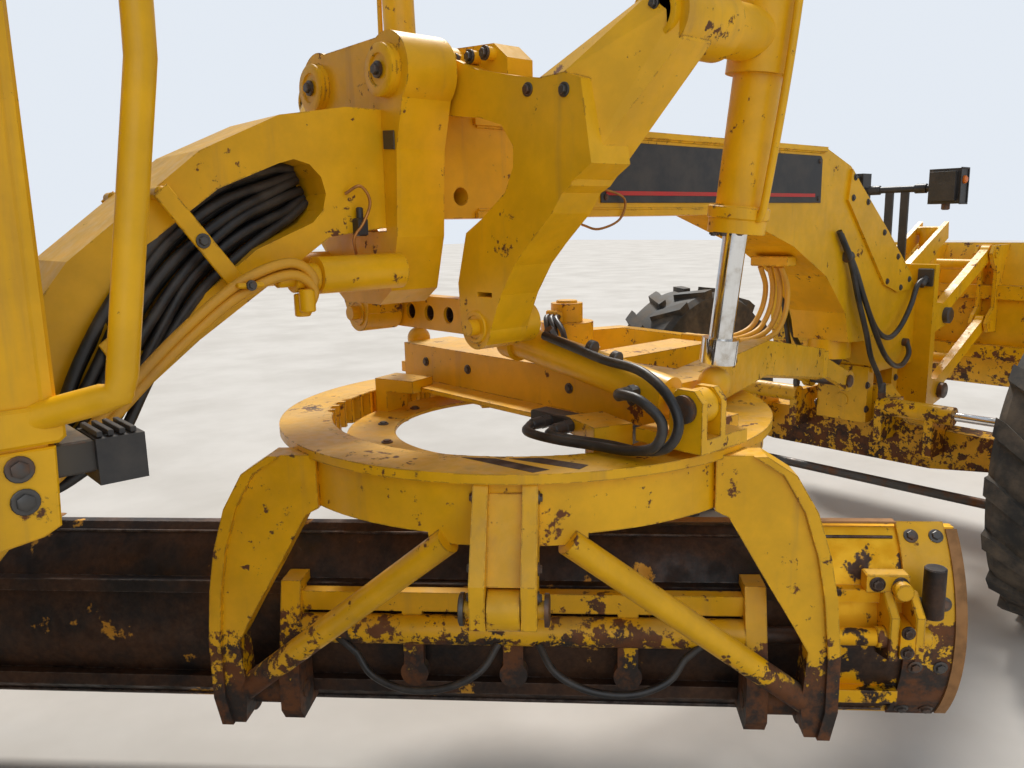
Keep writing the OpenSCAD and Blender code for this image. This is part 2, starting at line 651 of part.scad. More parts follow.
// Lamps: headlamps on the neck, work lamps at the cab's corners
module lamps() {
    machine() color(black) {
        translate([325, 0, 1900]) cyl_y(34, 420);
        mirrored() box(290, 380, 170, 320, 1820, 1990);
        mirrored() box(317, 333, 20, 60, 1520 + seat_gap, 1905);
        mirrored() box(cab_x1 + 60 + seat_gap, cab_x1 + 130, cab_half_w - 90, cab_half_w + 10, cab_floor_z - 20,
            cab_floor_z + 50);
    }
}
// Hoses leave the frame's opening, follow its side and end in a clamp block under the cab
module frame_hoses() {
    machine() color(black) mirrored() {
        for (h = hose_rows) {
            y = beam_w / 2 + h[0];
            p = [for (q = hose_path) [q[0] + h[2], y, q[1] + h[1]]];
            bar([p[0][0], web_t / 2 + 2 * seat_gap, p[0][2]], [p[0][0], y + hose_d / 2, p[0][2]], hose_d, $fn = 8);
            for (i = [0:len(p) - 2]) bar(p[i], p[i + 1] + (p[i + 1] - p[i]) * 0.04, hose_d, $fn = 8);
        }
        box(-3850, -3770, beam_w / 2 + seat_gap, beam_w / 2 + 84, 1210, 1300);
    }
}
hose_d = 28;
// Distance out from the beam's side, and the row's offset in height and along the machine
hose_rows = [[22, 0, 20], [54, -20, 0], [22, -42, -12]];
hose_path = [[-3150, 1885], [-3278, 1860], [-3419, 1812], [-3531, 1738], [-3611, 1640], [-3662, 1525],
    [-3710, 1391], [-3815, 1300]];

// Wheels, each with its axis along Y and its outer face towards +Y
module wheel_at(x, s) { translate([x, s * wheel_y, axle_z]) side(s) children(); }
tread_r = tyre_r - lug_h;
half_w = tyre_w / 2;
bead_r = bead_d / 2;
// Tread lugs, a leaning bar on each half of the tread; axial place and tangential place of their corners
lug_base = tread_r - 27;
lug_outline = [[8, 30], [8, 92], [half_w - 22, 0], [half_w - 22, -74], [half_w - 60, -56]];
module lugs() {
    for (i = [0:lug_count - 1], s = [-1, 1]) rotate((i + (s + 1) / 4) * 360 / lug_count)
        translate([lug_base, 0, 0]) rotate([0, 90, 0]) linear_extrude(tyre_r - 2 - lug_base)
            polygon([for (p = lug_outline) [s * p[0], p[1]]]);
}
module tyre(x, s) {
    machine() color(rubber) wheel_at(x, s) rotate([90, 0, 0]) {
        lugs();
        carcass();
    }
}
module carcass() {
    rotate_extrude($fn = 96) polygon([
        [bead_r, -115], [bead_r + 30, -132], [400, -half_w + 14], [500, -half_w], [590, -half_w + 8],
        [tread_r - 22, -half_w + 18], [tread_r, -half_w + 50], [tread_r, half_w - 50],
        [tread_r - 22, half_w - 18], [590, half_w - 8], [500, half_w], [400, half_w - 14],
        [bead_r + 30, 132], [bead_r, 115],
        [bead_r, 95], [400, half_w - 40], [500, half_w - 28], [590, half_w - 36], [tread_r - 30, half_w - 70],
        [tread_r - 30, -half_w + 70], [590, -half_w + 36], [500, -half_w + 28], [400, -half_w + 40],
        [bead_r, -95]]);
}
// The rim's disc sits near the outer face on the front wheels and the tandem alike
hub_r = 130;
module rim(x, s) {
    machine() color(yellow) wheel_at(x, s) rotate([-90, 0, 0]) difference() {
        rotate_extrude($fn = 96) polygon([[0, 120], [0, -wheel_y + king_y + 144],
            [hub_r, -wheel_y + king_y + 144], [hub_r, 20], [bead_r - 22, 40], [bead_r - 22, -116], [bead_r + 18, -136],
            [bead_r + 18, -133.3], [bead_r - seat_gap, -115], [bead_r - seat_gap, 115], [bead_r + 18, 133.3],
            [bead_r + 18, 136], [bead_r - 22, 116], [bead_r - 22, 62], [hub_r + 10, 44], [hub_r - 10, 60],
            [hub_r - 40, 120]]);
        translate([0, 0, -300]) cylinder(d = spindle_d + 2 * run_gap, h = 300 + wheel_spindle_end - wheel_y + turn_gap);
        for (i = [0:7]) rotate(i * 45) translate([210, 0, -100]) cylinder(d = 60, h = 300);
    }
}
mid_x = -wheelbase + tandem_pitch / 2;
rear_x = -wheelbase - tandem_pitch / 2;

// Drawbar: ball, triangle frame, cross beam with the lift balls, guide shoes for the circle
bar_bottom = circle_top + 10;
cross_z = [bar_bottom + 15, bar_bottom + 145];
lift_ball_d = 90;
module drawbar_ball() {
    machine() color(steel) {
        translate([-ball_back, 0, ball_z]) sphere(d = ball_d, $fn = 64);
        translate([-ball_back, 0, ball_z - 90]) cylinder(d = 70, h = 60);
        translate([-ball_back, 0, ball_z - 110]) cyl_y(60, 236);
    }
}
shoe_r = circle_r - 177;
beam_path = [[-ball_back - 400, 105, ball_z - 40], [-1480, 300, cross_z[0]], [-lift_back, 520, cross_z[0]]];
drive_at = [-circle_back + 420, 220];
module drawbar() {
    machine() color(yellow) difference() {
        union() {
            // fork round the ball's cross pin
            mirrored() translate([0, 95, 0]) link_xz([-ball_back, ball_z - 110], [-ball_back - 300, ball_z + 20], 100, 34);
            // triangle beams
            mirrored() for (i = [0, 1]) hull() for (p = [beam_path[i], beam_path[i + 1]])
                translate([p[0], p[1], p[2]]) cube([60, 60, 130]);
            box(-ball_back - 420, -ball_back - 320, -170, 170, ball_z - 40, ball_z + 80);
            // cross beam
            box(-lift_back - 110, -lift_back + 110, -lift_half_w + 60, lift_half_w - 60, cross_z[0], cross_z[1]);
            // circle plate
            intersection() {
                translate([-circle_back, 0, bar_bottom]) cylinder(r = 470, h = 15);
                box(-lift_back - 210, 0, -600, 600, bar_bottom, bar_bottom + 15);
            }
            translate([drive_at[0], drive_at[1], bar_bottom]) cylinder(r = 150, h = 15);
            box(-lift_back, -circle_back + 900, -90, 90, bar_bottom, bar_bottom + 110);
            // outriggers and shoes
            for (a = [60, 108, 252, 300]) translate([-circle_back, 0, 0]) rotate(a) {
                box(420, shoe_r, -60, 60, bar_bottom, bar_bottom + 45);
                box(shoe_r - 50, shoe_r, -60, 60, circle_bottom - 34, bar_bottom + 30);
                box(shoe_r - 50, circle_r - 65, -60, 60, circle_bottom - 34, circle_bottom - seat_gap);
            }
            // lift balls on their arms
            mirrored() {
                box(-lift_back - 60, -lift_back + 60, lift_half_w - 70, lift_half_w + 40, cross_z[0], cross_z[0] + 40);
                translate([-lift_back, lift_half_w, cross_z[0]]) cylinder(d = 60, h = lift_z - cross_z[0]);
                translate([-lift_back, lift_half_w, lift_z]) sphere(d = lift_ball_d);
            }
            // bracket, ears and pin of the centre shift cylinder
            box(shift_low[0] - 50, -lift_back - 50, shift_low[1] - 50, -lift_half_w + 70, cross_z[0], cross_z[0] + 36);
            for (x = [-1, 1]) translate([shift_low[0] + x * (shift_eye_t / 2 + 14), 0, 0])
                plate_yz([[shift_low[1] - 50, cross_z[0] + 10], [shift_low[1] + 50, cross_z[0] + 10],
                    [shift_low[1] + 50, shift_low[2] + 20], [shift_low[1] + 25, shift_low[2] + 48],
                    [shift_low[1] - 25, shift_low[2] + 48], [shift_low[1] - 50, shift_low[2] + 20]], 22);
            translate(shift_low) cyl_x(shift_pin_d, shift_eye_t + 40);
        }
        // pinion opening over the ring
        translate([-circle_back, 0, bar_bottom - 1]) cylinder(r = 60, h = 8);
        mirrored() translate([-ball_back, 95, ball_z - 110]) cyl_y(60 + 2 * run_gap, 60);
    }
}
module circle_drive() {
    machine() color(yellow) translate([drive_at[0], drive_at[1], bar_bottom + 15 + seat_gap]) {
        cylinder(r = 120, h = 90);
        translate([0, 0, 90]) cylinder(r = 100, h = 110);
        translate([0, 0, 200]) cylinder(r = 60, h = 70);
    }
}

// Lift cylinders: yoke and barrel turn on the crank's trunnion, the rod ends above the ball
yoke_line_x = -2190;
yoke_x = crank_x + 110 + 175;
lift_dir = [-lift_back - yoke_line_x, lift_half_w - trunnion_half_w, lift_z - trunnion_z];
barrel_up = 780;
barrel_down = 480;
module lift_barrel(s) {
    machine() color(yellow) side(s) difference() {
        union() {
            bar(lift_at(-barrel_up), lift_at(barrel_down), lift_barrel_d);
            bar(lift_at(barrel_down - 70), lift_at(barrel_down), lift_barrel_d + 26);
            bar(lift_at(-90), lift_at(90), lift_barrel_d + 40);
            translate([(yoke_x + yoke_line_x) / 2 + 1, trunnion_half_w, trunnion_z])
                cyl_x(130, yoke_line_x - yoke_x - 4);
            translate([yoke_x, trunnion_half_w, trunnion_z]) cyl_x(60, 100);
        }
        bar(lift_at(-barrel_up + 30), lift_at(barrel_down + 1), lift_rod_d + 2 * run_gap);
    }
}
function lift_at(t) = [yoke_line_x, trunnion_half_w, trunnion_z] + lift_dir / norm(lift_dir) * t;
lift_len = norm(lift_dir);
module lift_rod(s) {
    machine() color(chrome) side(s) {
        bar(lift_at(-420), lift_at(lift_len - 60), lift_rod_d);
        bar(lift_at(lift_len - 124), lift_at(lift_len - 57), 98);
    }
}

// Centre shift cylinder between the drawbar's right end and the link bar
shift_low = [-2425, -790, 1310];
shift_top = [-2465, 300, 1500];
shift_rod_d = 50;
shift_pin_d = 44;
shift_eye_t = 50;
shift_open = 690;
shift_dir = (shift_top - shift_low) / norm(shift_top - shift_low);
shift_len = norm(shift_top - shift_low);
module shift_barrel() {
    machine() color(yellow) difference() {
        union() {
            bar(shift_low + 85 * shift_dir, shift_low + shift_open * shift_dir, 100);
            bar(shift_low + (shift_open - 50) * shift_dir, shift_low + shift_open * shift_dir, 126);
            translate(shift_low) cyl_x(90, shift_eye_t);
            bar(shift_low + 20 * shift_dir, shift_low + 95 * shift_dir, shift_eye_t - 2);
        }
        bar(shift_low + 100 * shift_dir, shift_low + (shift_open + 1) * shift_dir, shift_rod_d + 2 * run_gap);
        translate(shift_low) cyl_x(shift_pin_d + 2 * run_gap, 100);
    }
}
module shift_rod() {
    machine() color(chrome) {
        bar(shift_low + 410 * shift_dir, shift_low + (shift_len - 76) * shift_dir, shift_rod_d);
        translate(shift_low + (shift_len - 71) * shift_dir) sphere(d = 70);
    }
}

// Circle: toothed ring, cross plate and the two blade arms, all turned with the blade
module blade_frame() { machine() translate([-circle_back, 0, 0]) rotate(blade_turn) children(); }
tip_x = -blade_back - 235;
tip_z = 395;
tip_pin_d = 50;
flange_r = 790;
rim_t = 26;
apron_t = 26;
apron_z = 1008;
apron_half = 560;
panel_z = 982;
panel_half = 202;
// Blade arm seen from behind: its outer edge from the top down, then its inner edge back up
arm_outer = [[670, 1158], [748, 1107], [807, 1005], [846, 880], [868, 760], [884, 600], [884, 430], [866, 345]];
arm_inner = [[800, 345], [788, 430], [800, 600], [752, 687], [666, 832], [577, 987], [540, 1005], [540, 1158]];
arm_x = -520;
arm_t = 80;
arm_foot_y = 842;
brace_d = 70;
bracket_y = 61;
tip_b = [-870, 865];
tip_eye = [tip_x + 14, 700];
tip_dir = (tip_eye - tip_b) / norm(tip_eye - tip_b);
tip_len = norm(tip_eye - tip_b);
tip_open = 318;
tip_rod_d = 45;
function tip_at(t) = [tip_b[0] + tip_dir[0] * t, 0, tip_b[1] + tip_dir[1] * t];
module circle_ring() {
    blade_frame() color(yellow) {
        difference() {
            union() {
                translate([0, 0, circle_bottom]) cylinder(r = circle_r, h = circle_h, $fn = 96);
                translate([0, 0, circle_top - rim_t]) cylinder(r = flange_r, h = rim_t, $fn = 96);
            }
            translate([0, 0, circle_bottom - 1]) cylinder(r = circle_r - 110, h = circle_h + 2, $fn = 96);
        }
        // inner teeth
        for (i = [0:circle_teeth - 1]) rotate(i * 360 / circle_teeth) translate([circle_r - 136, 0, circle_bottom])
            linear_extrude(circle_h) polygon([[0, -8], [30, -18], [30, 18], [0, 8]]);
        // apron round the rear, deeper at its middle
        difference() {
            translate([0, 0, panel_z]) cylinder(r = circle_r, h = circle_bottom + 2 - panel_z, $fn = 96);
            translate([0, 0, panel_z - 1]) cylinder(r = circle_r - apron_t, h = 200, $fn = 96);
            box(-480, 900, -900, 900, 900, 1200);
            mirrored() box(-900, 900, panel_half, 900, 900, apron_z);
        }
        // blade arms with the foot that holds the tip pin
        mirrored() {
            translate([arm_x, 0, 0]) plate_yz(concat(arm_outer, arm_inner), arm_t);
            translate([arm_x - arm_t / 2, 0, 0]) plate_yz(concat(arm_outer,
                [for (i = [len(arm_outer) - 1:-1:0]) arm_outer[i] - [34, 0]]), 28);
            translate([tip_x, arm_foot_y, tip_z]) cyl_y(130, 84);
            box(arm_x, tip_x, arm_foot_y - 42, arm_foot_y + 24, 345, tip_z + 60);
            translate([tip_x, arm_foot_y - 75, tip_z]) cyl_y(tip_pin_d, 240);
            translate([tip_x, arm_foot_y - 84, tip_z]) cyl_y(84, 86);
            // slanting brace
            bar([-748, 150, 990], [arm_x, arm_foot_y - 25, 425], brace_d);
        }
        // middle bracket, its web and the tip cylinder's barrel
        mirrored() translate([0, bracket_y, 0]) plate_xz([[-700, 1150], [-775, 1150], [-800, 1110], [-915, 940],
            [-915, 831], [-845, 831], [-752, 982], [-700, 1020]], 38);
        plate_xz([[-735, 1120], [-770, 1120], [-880, 925], [-855, 912]], 2 * bracket_y);
        difference() {
            union() {
                bar(tip_at(0), tip_at(tip_open), 84);
                bar(tip_at(tip_open - 40), tip_at(tip_open), 98);
                translate(tip_at(0)) cyl_y(100, 78);
                translate(tip_at(0)) cyl_y(44, 2 * bracket_y + 70);
            }
            bar(tip_at(40), tip_at(tip_open + 1), tip_rod_d + 2 * run_gap);
        }
    }
}
// Carrier that tips on the circle's arms, guides the blade's rails and holds the side shift barrel
module blade_carrier() {
    front = rail_back - rail_gap;
    blade_frame() color(yellow) difference() {
        union() {
            mirrored() translate([0, carrier_y, 0]) {
                plate_xz([[tip_x - 58, tip_z - 40], [tip_x - 30, rail_z[0] - 30], [front, rail_z[0] - 30],
                    [front, rail_z[1] + rail_h + 30], [front - 50, rail_z[1] + rail_h + 30], [tip_x - 58, tip_z + 70]],
                    60);
                // hooks over the upper rail and under the lower rail
                box(front - 40, front + 36, -30, 30, rail_z[1] + rail_h + seat_gap, rail_z[1] + rail_h + 30);
                box(front - 40, front + 40, -30, 30, rail_z[0] - 30, rail_z[0] - seat_gap);
            }
            // tie beam between the brackets, and the bars that hang from it
            box(front - 44, front - 6, -carrier_y, carrier_y, 640, 700);
            for (y = [-320, 20, 320]) {
                box(front - 44, front - 10, y - 30, y + 30, 440, 660);
                translate([front - 27, y, 440]) cyl_x(84, 34);
            }
            // ears and pin for the tip rod
            for (y = [-26, 26]) translate([0, y, 0]) plate_xz([[front - 10, 640], [front - 10, 700],
                [tip_eye[0] + 20, 732], [tip_eye[0] - 8, 732], [tip_eye[0] - 30, 712], [tip_eye[0] - 30, 688],
                [front - 44, 640]], 24);
            translate([tip_eye[0], 0, tip_eye[1]]) cyl_y(34, 76);
            translate([shift_bar[0], 0, shift_bar[1]]) cyl_y(88, 2 * carrier_y - 40);
        }
        mirrored() translate([tip_x, carrier_y, tip_z]) cyl_y(tip_pin_d + 2 * run_gap, 200);
        // way of the side shift rod
        translate([shift_bar[0], -330, shift_bar[1]]) cyl_y(side_rod_d + 2 * run_gap, 1960);
    }
}
// Axis of the side shift cylinder in X and Z, and its rod
shift_bar = [-432, 585];
side_rod_d = 50;
carrier_y = 680;
rail_back = -blade_back - 161;
rail_t = 50;
rail_h = 40;
rail_z = [345, 665];
rail_l = 3300;
rail_gap = 6;
module link_xz_at(p, q, d, t) { translate([0, p[1], 0]) link_xz([p[0], p[2]], [q[0], q[2]], d, t); }
module tip_rod() {
    blade_frame() color(chrome) {
        bar(tip_at(76), tip_at(tip_len - 84), tip_rod_d);
        link_xz_at(tip_at(tip_len - 74), tip_at(tip_len - 48), 52, 22);
    }
}

// Moldboard with its slide rails, and the cutting edge
// Inner end of the side shift rod, from the blade's middle
side_rod_in = 600 - blade_shift;
module blade_at() { blade_frame() translate([-blade_back, blade_shift, 0]) children(); }
module moldboard() {
    blade_at() color(steel) {
        translate([blade_r * cos(arc_half), 0, blade_z + blade_h / 2]) rotate([90, 0, 0])
            linear_extrude(blade_l, center = true) difference() {
                intersection() {
                    circle(r = blade_r + blade_t, $fn = 128);
                    translate([-blade_r - 60, -blade_h / 2])
                        square([blade_r + 60 - blade_r * cos(arc_half) + 1, blade_h]);
                }
                circle(r = blade_r, $fn = 128);
            }
        for (z = rail_z) box(rail_back + blade_back, rail_back + blade_back + rail_t, -rail_l / 2, rail_l / 2,
            z, z + rail_h);
        // side shift rod and the lug that holds its end
        translate([shift_bar[0] + blade_back, 0, shift_bar[1]]) {
            translate([0, side_rod_in, 0]) rotate([90, 0, 0]) cylinder(d = side_rod_d, h = rail_l / 2 + side_rod_in - 20);
            box(-44, 70, -rail_l / 2, -rail_l / 2 + 40, -44, 44);
        }
    }
}
module cutting_edge() {
    blade_at() color(worn) {
        translate([0, 0, blade_z]) rotate([0, -arc_half, 0]) translate([0, -blade_l / 2, 0])
            box(edge_off, edge_off + edge_t, 0, blade_l, edge_lap - edge_h, edge_lap);
    }
}

// Front lift group with its blade
link_out = [dozer_link_l * cos(dozer_rise), dozer_link_l * sin(dozer_rise)];
lower_pin = [link_pin_x, lower_pin_z];
upper_pin = [link_pin_x, upper_pin_z];
link_y = 175;
link_pin_d = 50;
rod_pin = lower_pin + 300 / dozer_link_l * link_out;
dozer_cyl_x = rod_pin[0];
dozer_rod_d = 45;
dozer_gland_z = 1230;
module dozer_bracket() {
    machine() color(yellow) difference() {
        union() {
            box(300 + seat_gap, 350, -230, 230, 760, 1520);
            for (z = [lower_pin_z, upper_pin_z]) mirrored() for (y = [link_y - 52, link_y + 32])
                translate([0, y + 10, 0]) plate_xz([[340, z - 80], [link_pin_x + 20, z - 50], [link_pin_x + 50, z],
                    [link_pin_x + 20, z + 50], [340, z + 80]], 20);
            mirrored() translate([0, 70, 0]) plate_xz([[340, 1260], [340, 1515], [dozer_cyl_x + 50, 1730],
                [dozer_cyl_x + 60, 1640], [dozer_cyl_x - 60, 1580], [420, 1400]], 24);
            translate([dozer_cyl_x, 0, 1680]) cyl_y(50, 160);
            translate([dozer_cyl_x, 0, dozer_gland_z]) cylinder(d = 96, h = 1700 - dozer_gland_z);
        }
        translate([dozer_cyl_x, 0, dozer_gland_z - 1])
            cylinder(d = dozer_rod_d + 2 * run_gap, h = 1650 - dozer_gland_z);
        for (z = [lower_pin_z, upper_pin_z]) translate([link_pin_x, 0, z]) cyl_y(link_pin_d + 2 * run_gap, 600);
    }
}
module dozer_link(pin, cross) {
    machine() color(yellow) {
        mirrored() translate([0, link_y, 0]) link_xz(pin, pin + link_out, 90, 44);
        mirrored() translate([pin[0], link_y, pin[1]]) cyl_y(link_pin_d, 120);
        mirrored() translate([pin[0] + link_out[0], link_y, pin[1] + link_out[1]]) cyl_y(link_pin_d, 120);
        translate([cross[0], 0, cross[1]]) cyl_y(60, 2 * link_y);
    }
}
module dozer_lower_link() { dozer_link(lower_pin, rod_pin); }
module dozer_upper_link() { dozer_link(upper_pin, upper_pin + 0.8 * link_out); }
dozer_x = link_pin_x + link_out[0];
ear_z = [lower_pin_z + link_out[1], upper_pin_z + link_out[1]];
module dozer_blade() {
    machine() color(yellow) difference() {
        union() {
            mirrored() for (y = [link_y - 52, link_y + 32]) translate([0, y + 10, 0]) difference() {
                plate_xz([[dozer_x - 50, ear_z[0]], [dozer_x - 20, ear_z[0] + 50], [dozer_x + 40, ear_z[0] + 90],
                    [dozer_x + 40, ear_z[1] - 110], [dozer_x - 20, ear_z[1] - 50], [dozer_x - 50, ear_z[1]],
                    [dozer_x - 20, ear_z[1] + 45], [dozer_x + 230, ear_z[1] + 45], [dozer_x + 230, ear_z[0] - 60],
                    [dozer_x - 20, ear_z[0] - 50]], 20);
                translate([dozer_x + dozer_off + dozer_t + blade_r2, 0, dozer_z0 + dozer_h / 2])
                    rotate([90, 0, 0]) cylinder(r = blade_r2 + dozer_t / 2, h = 60, center = true, $fn = 160);
            }
            translate([dozer_x + dozer_off + dozer_t + blade_r2, 0, dozer_z0 + dozer_h / 2]) rotate([90, 0, 0])
                linear_extrude(dozer_w, center = true) difference() {
                    intersection() {
                        circle(r = blade_r2 + dozer_t, $fn = 160);
                        translate([-blade_r2 - 30, -dozer_h / 2]) square([30 + dozer_sag, dozer_h]);
                    }
                    circle(r = blade_r2, $fn = 160);
                }
            box(dozer_x + 60, dozer_x + 128, -dozer_w / 2 + 60, dozer_w / 2 - 60, dozer_z0 + dozer_h - 320,
                dozer_z0 + dozer_h - 240);
            box(dozer_x + 60, dozer_x + 128, -dozer_w / 2 + 60, dozer_w / 2 - 60, dozer_z0 + 180, dozer_z0 + 260);
        }
        for (z = ear_z) translate([dozer_x, 0, z]) cyl_y(link_pin_d + 2 * run_gap, 600);
    }
}
blade_r2 = 780;
dozer_z0 = 1600 - dozer_h;
module dozer_rod() {
    machine() color(chrome) {
        translate([dozer_cyl_x, 0, rod_pin[1] + 60]) cylinder(d = dozer_rod_d, h = 1615 - rod_pin[1] - 60);
        translate([dozer_cyl_x, 0, rod_pin[1] + 66]) cyl_y(60, 60);
    }
}

front_frame();
lift_saddle();
lift_arms();
link_bar();
frame_hoses();
lamps();
dozer_bracket();
cab_floor();
cab_shell();
cab_roof();
cab_glass();
seat();
front_axle();
knuckle(1);  // knuckle_left
knuckle(-1);  // knuckle_right
tie_rod();
steer_rod(1);  // steer_rod_left
steer_rod(-1);  // steer_rod_right
swing_rod(1);  // swing_rod_left
swing_rod(-1);  // swing_rod_right
rear_frame();
engine();
hood();
rear_grille();
exhaust();
tandem_axle();
engine_door(1);  // engine_door_left
engine_door(-1);  // engine_door_right
cab_door(1);  // cab_door_left
cab_door(-1);  // cab_door_right
tyre(0, 1);  // tyre_front_left
tyre(0, -1);  // tyre_front_right
tyre(mid_x, 1);  // tyre_mid_left
tyre(mid_x, -1);  // tyre_mid_right
tyre(rear_x, 1);  // tyre_rear_left
tyre(rear_x, -1);  // tyre_rear_right
rim(0, 1);  // rim_front_left
rim(0, -1);  // rim_front_right
rim(mid_x, 1);  // rim_mid_left
rim(mid_x, -1);  // rim_mid_right
rim(rear_x, 1);  // rim_rear_left
rim(rear_x, -1);  // rim_rear_right
drawbar_ball();
drawbar();
circle_drive();
lift_barrel(1);  // lift_barrel_left
lift_barrel(-1);  // lift_barrel_right
lift_rod(1);  // lift_rod_left
lift_rod(-1);  // lift_rod_right
shift_barrel();
shift_rod();
circle_ring();  // circle
blade_carrier();
moldboard();
cutting_edge();
tip_rod();
dozer_lower_link();
dozer_upper_link();
dozer_blade();
dozer_rod();
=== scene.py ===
import json
import math

import bpy
import numpy as np
from mathutils import Matrix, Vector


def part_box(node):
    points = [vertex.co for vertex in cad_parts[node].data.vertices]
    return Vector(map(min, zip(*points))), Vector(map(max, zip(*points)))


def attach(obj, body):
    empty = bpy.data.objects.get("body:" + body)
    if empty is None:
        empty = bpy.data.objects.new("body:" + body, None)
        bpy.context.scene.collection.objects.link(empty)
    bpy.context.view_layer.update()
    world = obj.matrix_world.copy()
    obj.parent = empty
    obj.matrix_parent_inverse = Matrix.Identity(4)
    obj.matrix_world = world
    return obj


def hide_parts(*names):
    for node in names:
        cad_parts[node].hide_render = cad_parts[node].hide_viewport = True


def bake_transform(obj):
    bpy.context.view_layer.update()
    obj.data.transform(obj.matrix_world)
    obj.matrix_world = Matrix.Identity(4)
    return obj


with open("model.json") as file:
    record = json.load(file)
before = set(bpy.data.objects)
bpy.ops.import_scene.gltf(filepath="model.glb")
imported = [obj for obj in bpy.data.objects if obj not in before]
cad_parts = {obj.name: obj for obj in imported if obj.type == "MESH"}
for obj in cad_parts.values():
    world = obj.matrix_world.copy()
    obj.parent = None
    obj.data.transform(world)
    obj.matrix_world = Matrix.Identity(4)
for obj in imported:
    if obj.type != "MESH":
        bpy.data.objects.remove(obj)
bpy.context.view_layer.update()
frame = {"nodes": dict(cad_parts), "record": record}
print("frame loaded", len(frame["nodes"]), "nodes")


def boxMiddle(node):
    low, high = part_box(node)
    return (np.array(low) + np.array(high)) / 2


axleMiddle = (boxMiddle("tyre_front_left") + boxMiddle("tyre_front_right")) / 2
origin = np.array([axleMiddle[0], axleMiddle[1], 0.0])  # ground under the front axle


def placed(points):  # machine millimetres to the row's metres
    return np.asarray(points, float) / 1000 + origin


turnAngle = math.radians(44.4)  # the blade's turn in the photo
bladeShift = 534  # and how far its middle stands to the left
circleCentre = (-2300, 0, 0)


def inBlade(points):  # millimetres in the frame that turns with the circle, to the row's metres
    x, y, z = np.asarray(points, float).T
    c, s = math.cos(turnAngle), math.sin(turnAngle)
    return placed(np.column_stack([c * x - s * y, s * x + c * y, z]) + circleCentre)


# camera: fitted to the photo's wheels, frame edges and blade, 1024 x 768
camera = {
    "focalPixels": 837.4,
    "width": 1024,
    "sensor": 36.0,
    "place": (-4120.3, -2031.5, 1769.5),
    "yaw": 0.855106,
    "pitch": 0.189746,
    "roll": -0.020681,
}


def addCamera(c):
    cosP, sinP = math.cos(c["pitch"]), math.sin(c["pitch"])
    cosY, sinY = math.cos(c["yaw"]), math.sin(c["yaw"])
    forward = np.array([cosP * cosY, cosP * sinY, -sinP])
    right = np.array([sinY, -cosY, 0.0])
    up = np.cross(right, forward)
    cosR, sinR = math.cos(c["roll"]), math.sin(c["roll"])
    right, up = cosR * right + sinR * up, -sinR * right + cosR * up
    data = bpy.data.cameras.new("photoCamera")
    data.sensor_fit = "HORIZONTAL"
    data.sensor_width = c["sensor"]
    data.lens = c["focalPixels"] / c["width"] * c["sensor"]
    data.clip_end = 200
    obj = bpy.data.objects.new("photoCamera", data)
    bpy.context.scene.collection.objects.link(obj)
    matrix = np.eye(4)
    matrix[:3, 0], matrix[:3, 1], matrix[:3, 2] = right, up, -forward
    matrix[:3, 3] = placed(c["place"])
    obj.matrix_world = Matrix(matrix.tolist())
    bpy.context.scene.camera = obj


addCamera(camera)
print("camera placed")


def fillSockets(tree, node, values):  # sockets are linked, plain values are set
    for key, value in values.items():
        if isinstance(value, bpy.types.NodeSocket):
            tree.links.new(value, node.inputs[key])
        else:
            node.inputs[key].default_value = value


def addNode(tree, kind, values=None, **settings):
    node = tree.nodes.new(kind)
    for key, value in settings.items():
        setattr(node, key, value)
    fillSockets(tree, node, values or {})
    return node


def addMath(tree, operation, a, b=0.0, clamp=False):
    return addNode(tree, "ShaderNodeMath", {0: a, 1: b}, operation=operation, use_clamp=clamp).outputs[0]


def times(tree, a, b):
    return addMath(tree, "MULTIPLY", a, b)


def plus(tree, a, b, clamp=False):
    return addMath(tree, "ADD", a, b, clamp)


def objectPlace(tree):
    return addNode(tree, "ShaderNodeTexCoord").outputs["Object"]


def upward(tree, vector):
    return addNode(tree, "ShaderNodeSeparateXYZ", {0: vector}).outputs["Z"]


def mixColour(tree, factor, a, b, mode="MIX"):
    return addNode(
        tree, "ShaderNodeMix", {0: factor, 6: a, 7: b}, data_type="RGBA", blend_type=mode
    ).outputs[2]


def ramp(tree, value, low, high, start=0.0, end=1.0):
    return addNode(
        tree,
        "ShaderNodeMapRange",
        {"Value": value, "From Min": low, "From Max": high, "To Min": start, "To Max": end},
        interpolation_type="SMOOTHSTEP",
    ).outputs[0]


def noise(tree, scale, detail=4.0, rough=0.55, stretch=(1, 1, 1)):
    mapped = addNode(tree, "ShaderNodeMapping", {"Vector": objectPlace(tree), "Scale": stretch}).outputs[0]
    return addNode(
        tree, "ShaderNodeTexNoise", {"Vector": mapped, "Scale": scale, "Detail": detail, "Roughness": rough}
    ).outputs[0]


def newGroup(name, inputs, outputs):
    group = bpy.data.node_groups.new(name, "ShaderNodeTree")
    for label, kind, value in inputs:
        socket = group.interface.new_socket(label, in_out="INPUT", socket_type=kind)
        socket.default_value = value
    for label, kind in outputs:
        group.interface.new_socket(label, in_out="OUTPUT", socket_type=kind)
    ins = group.nodes.new("NodeGroupInput").outputs
    outs = group.nodes.new("NodeGroupOutput").inputs
    return group, ins, outs


number, colour = "NodeSocketFloat", "NodeSocketColor"


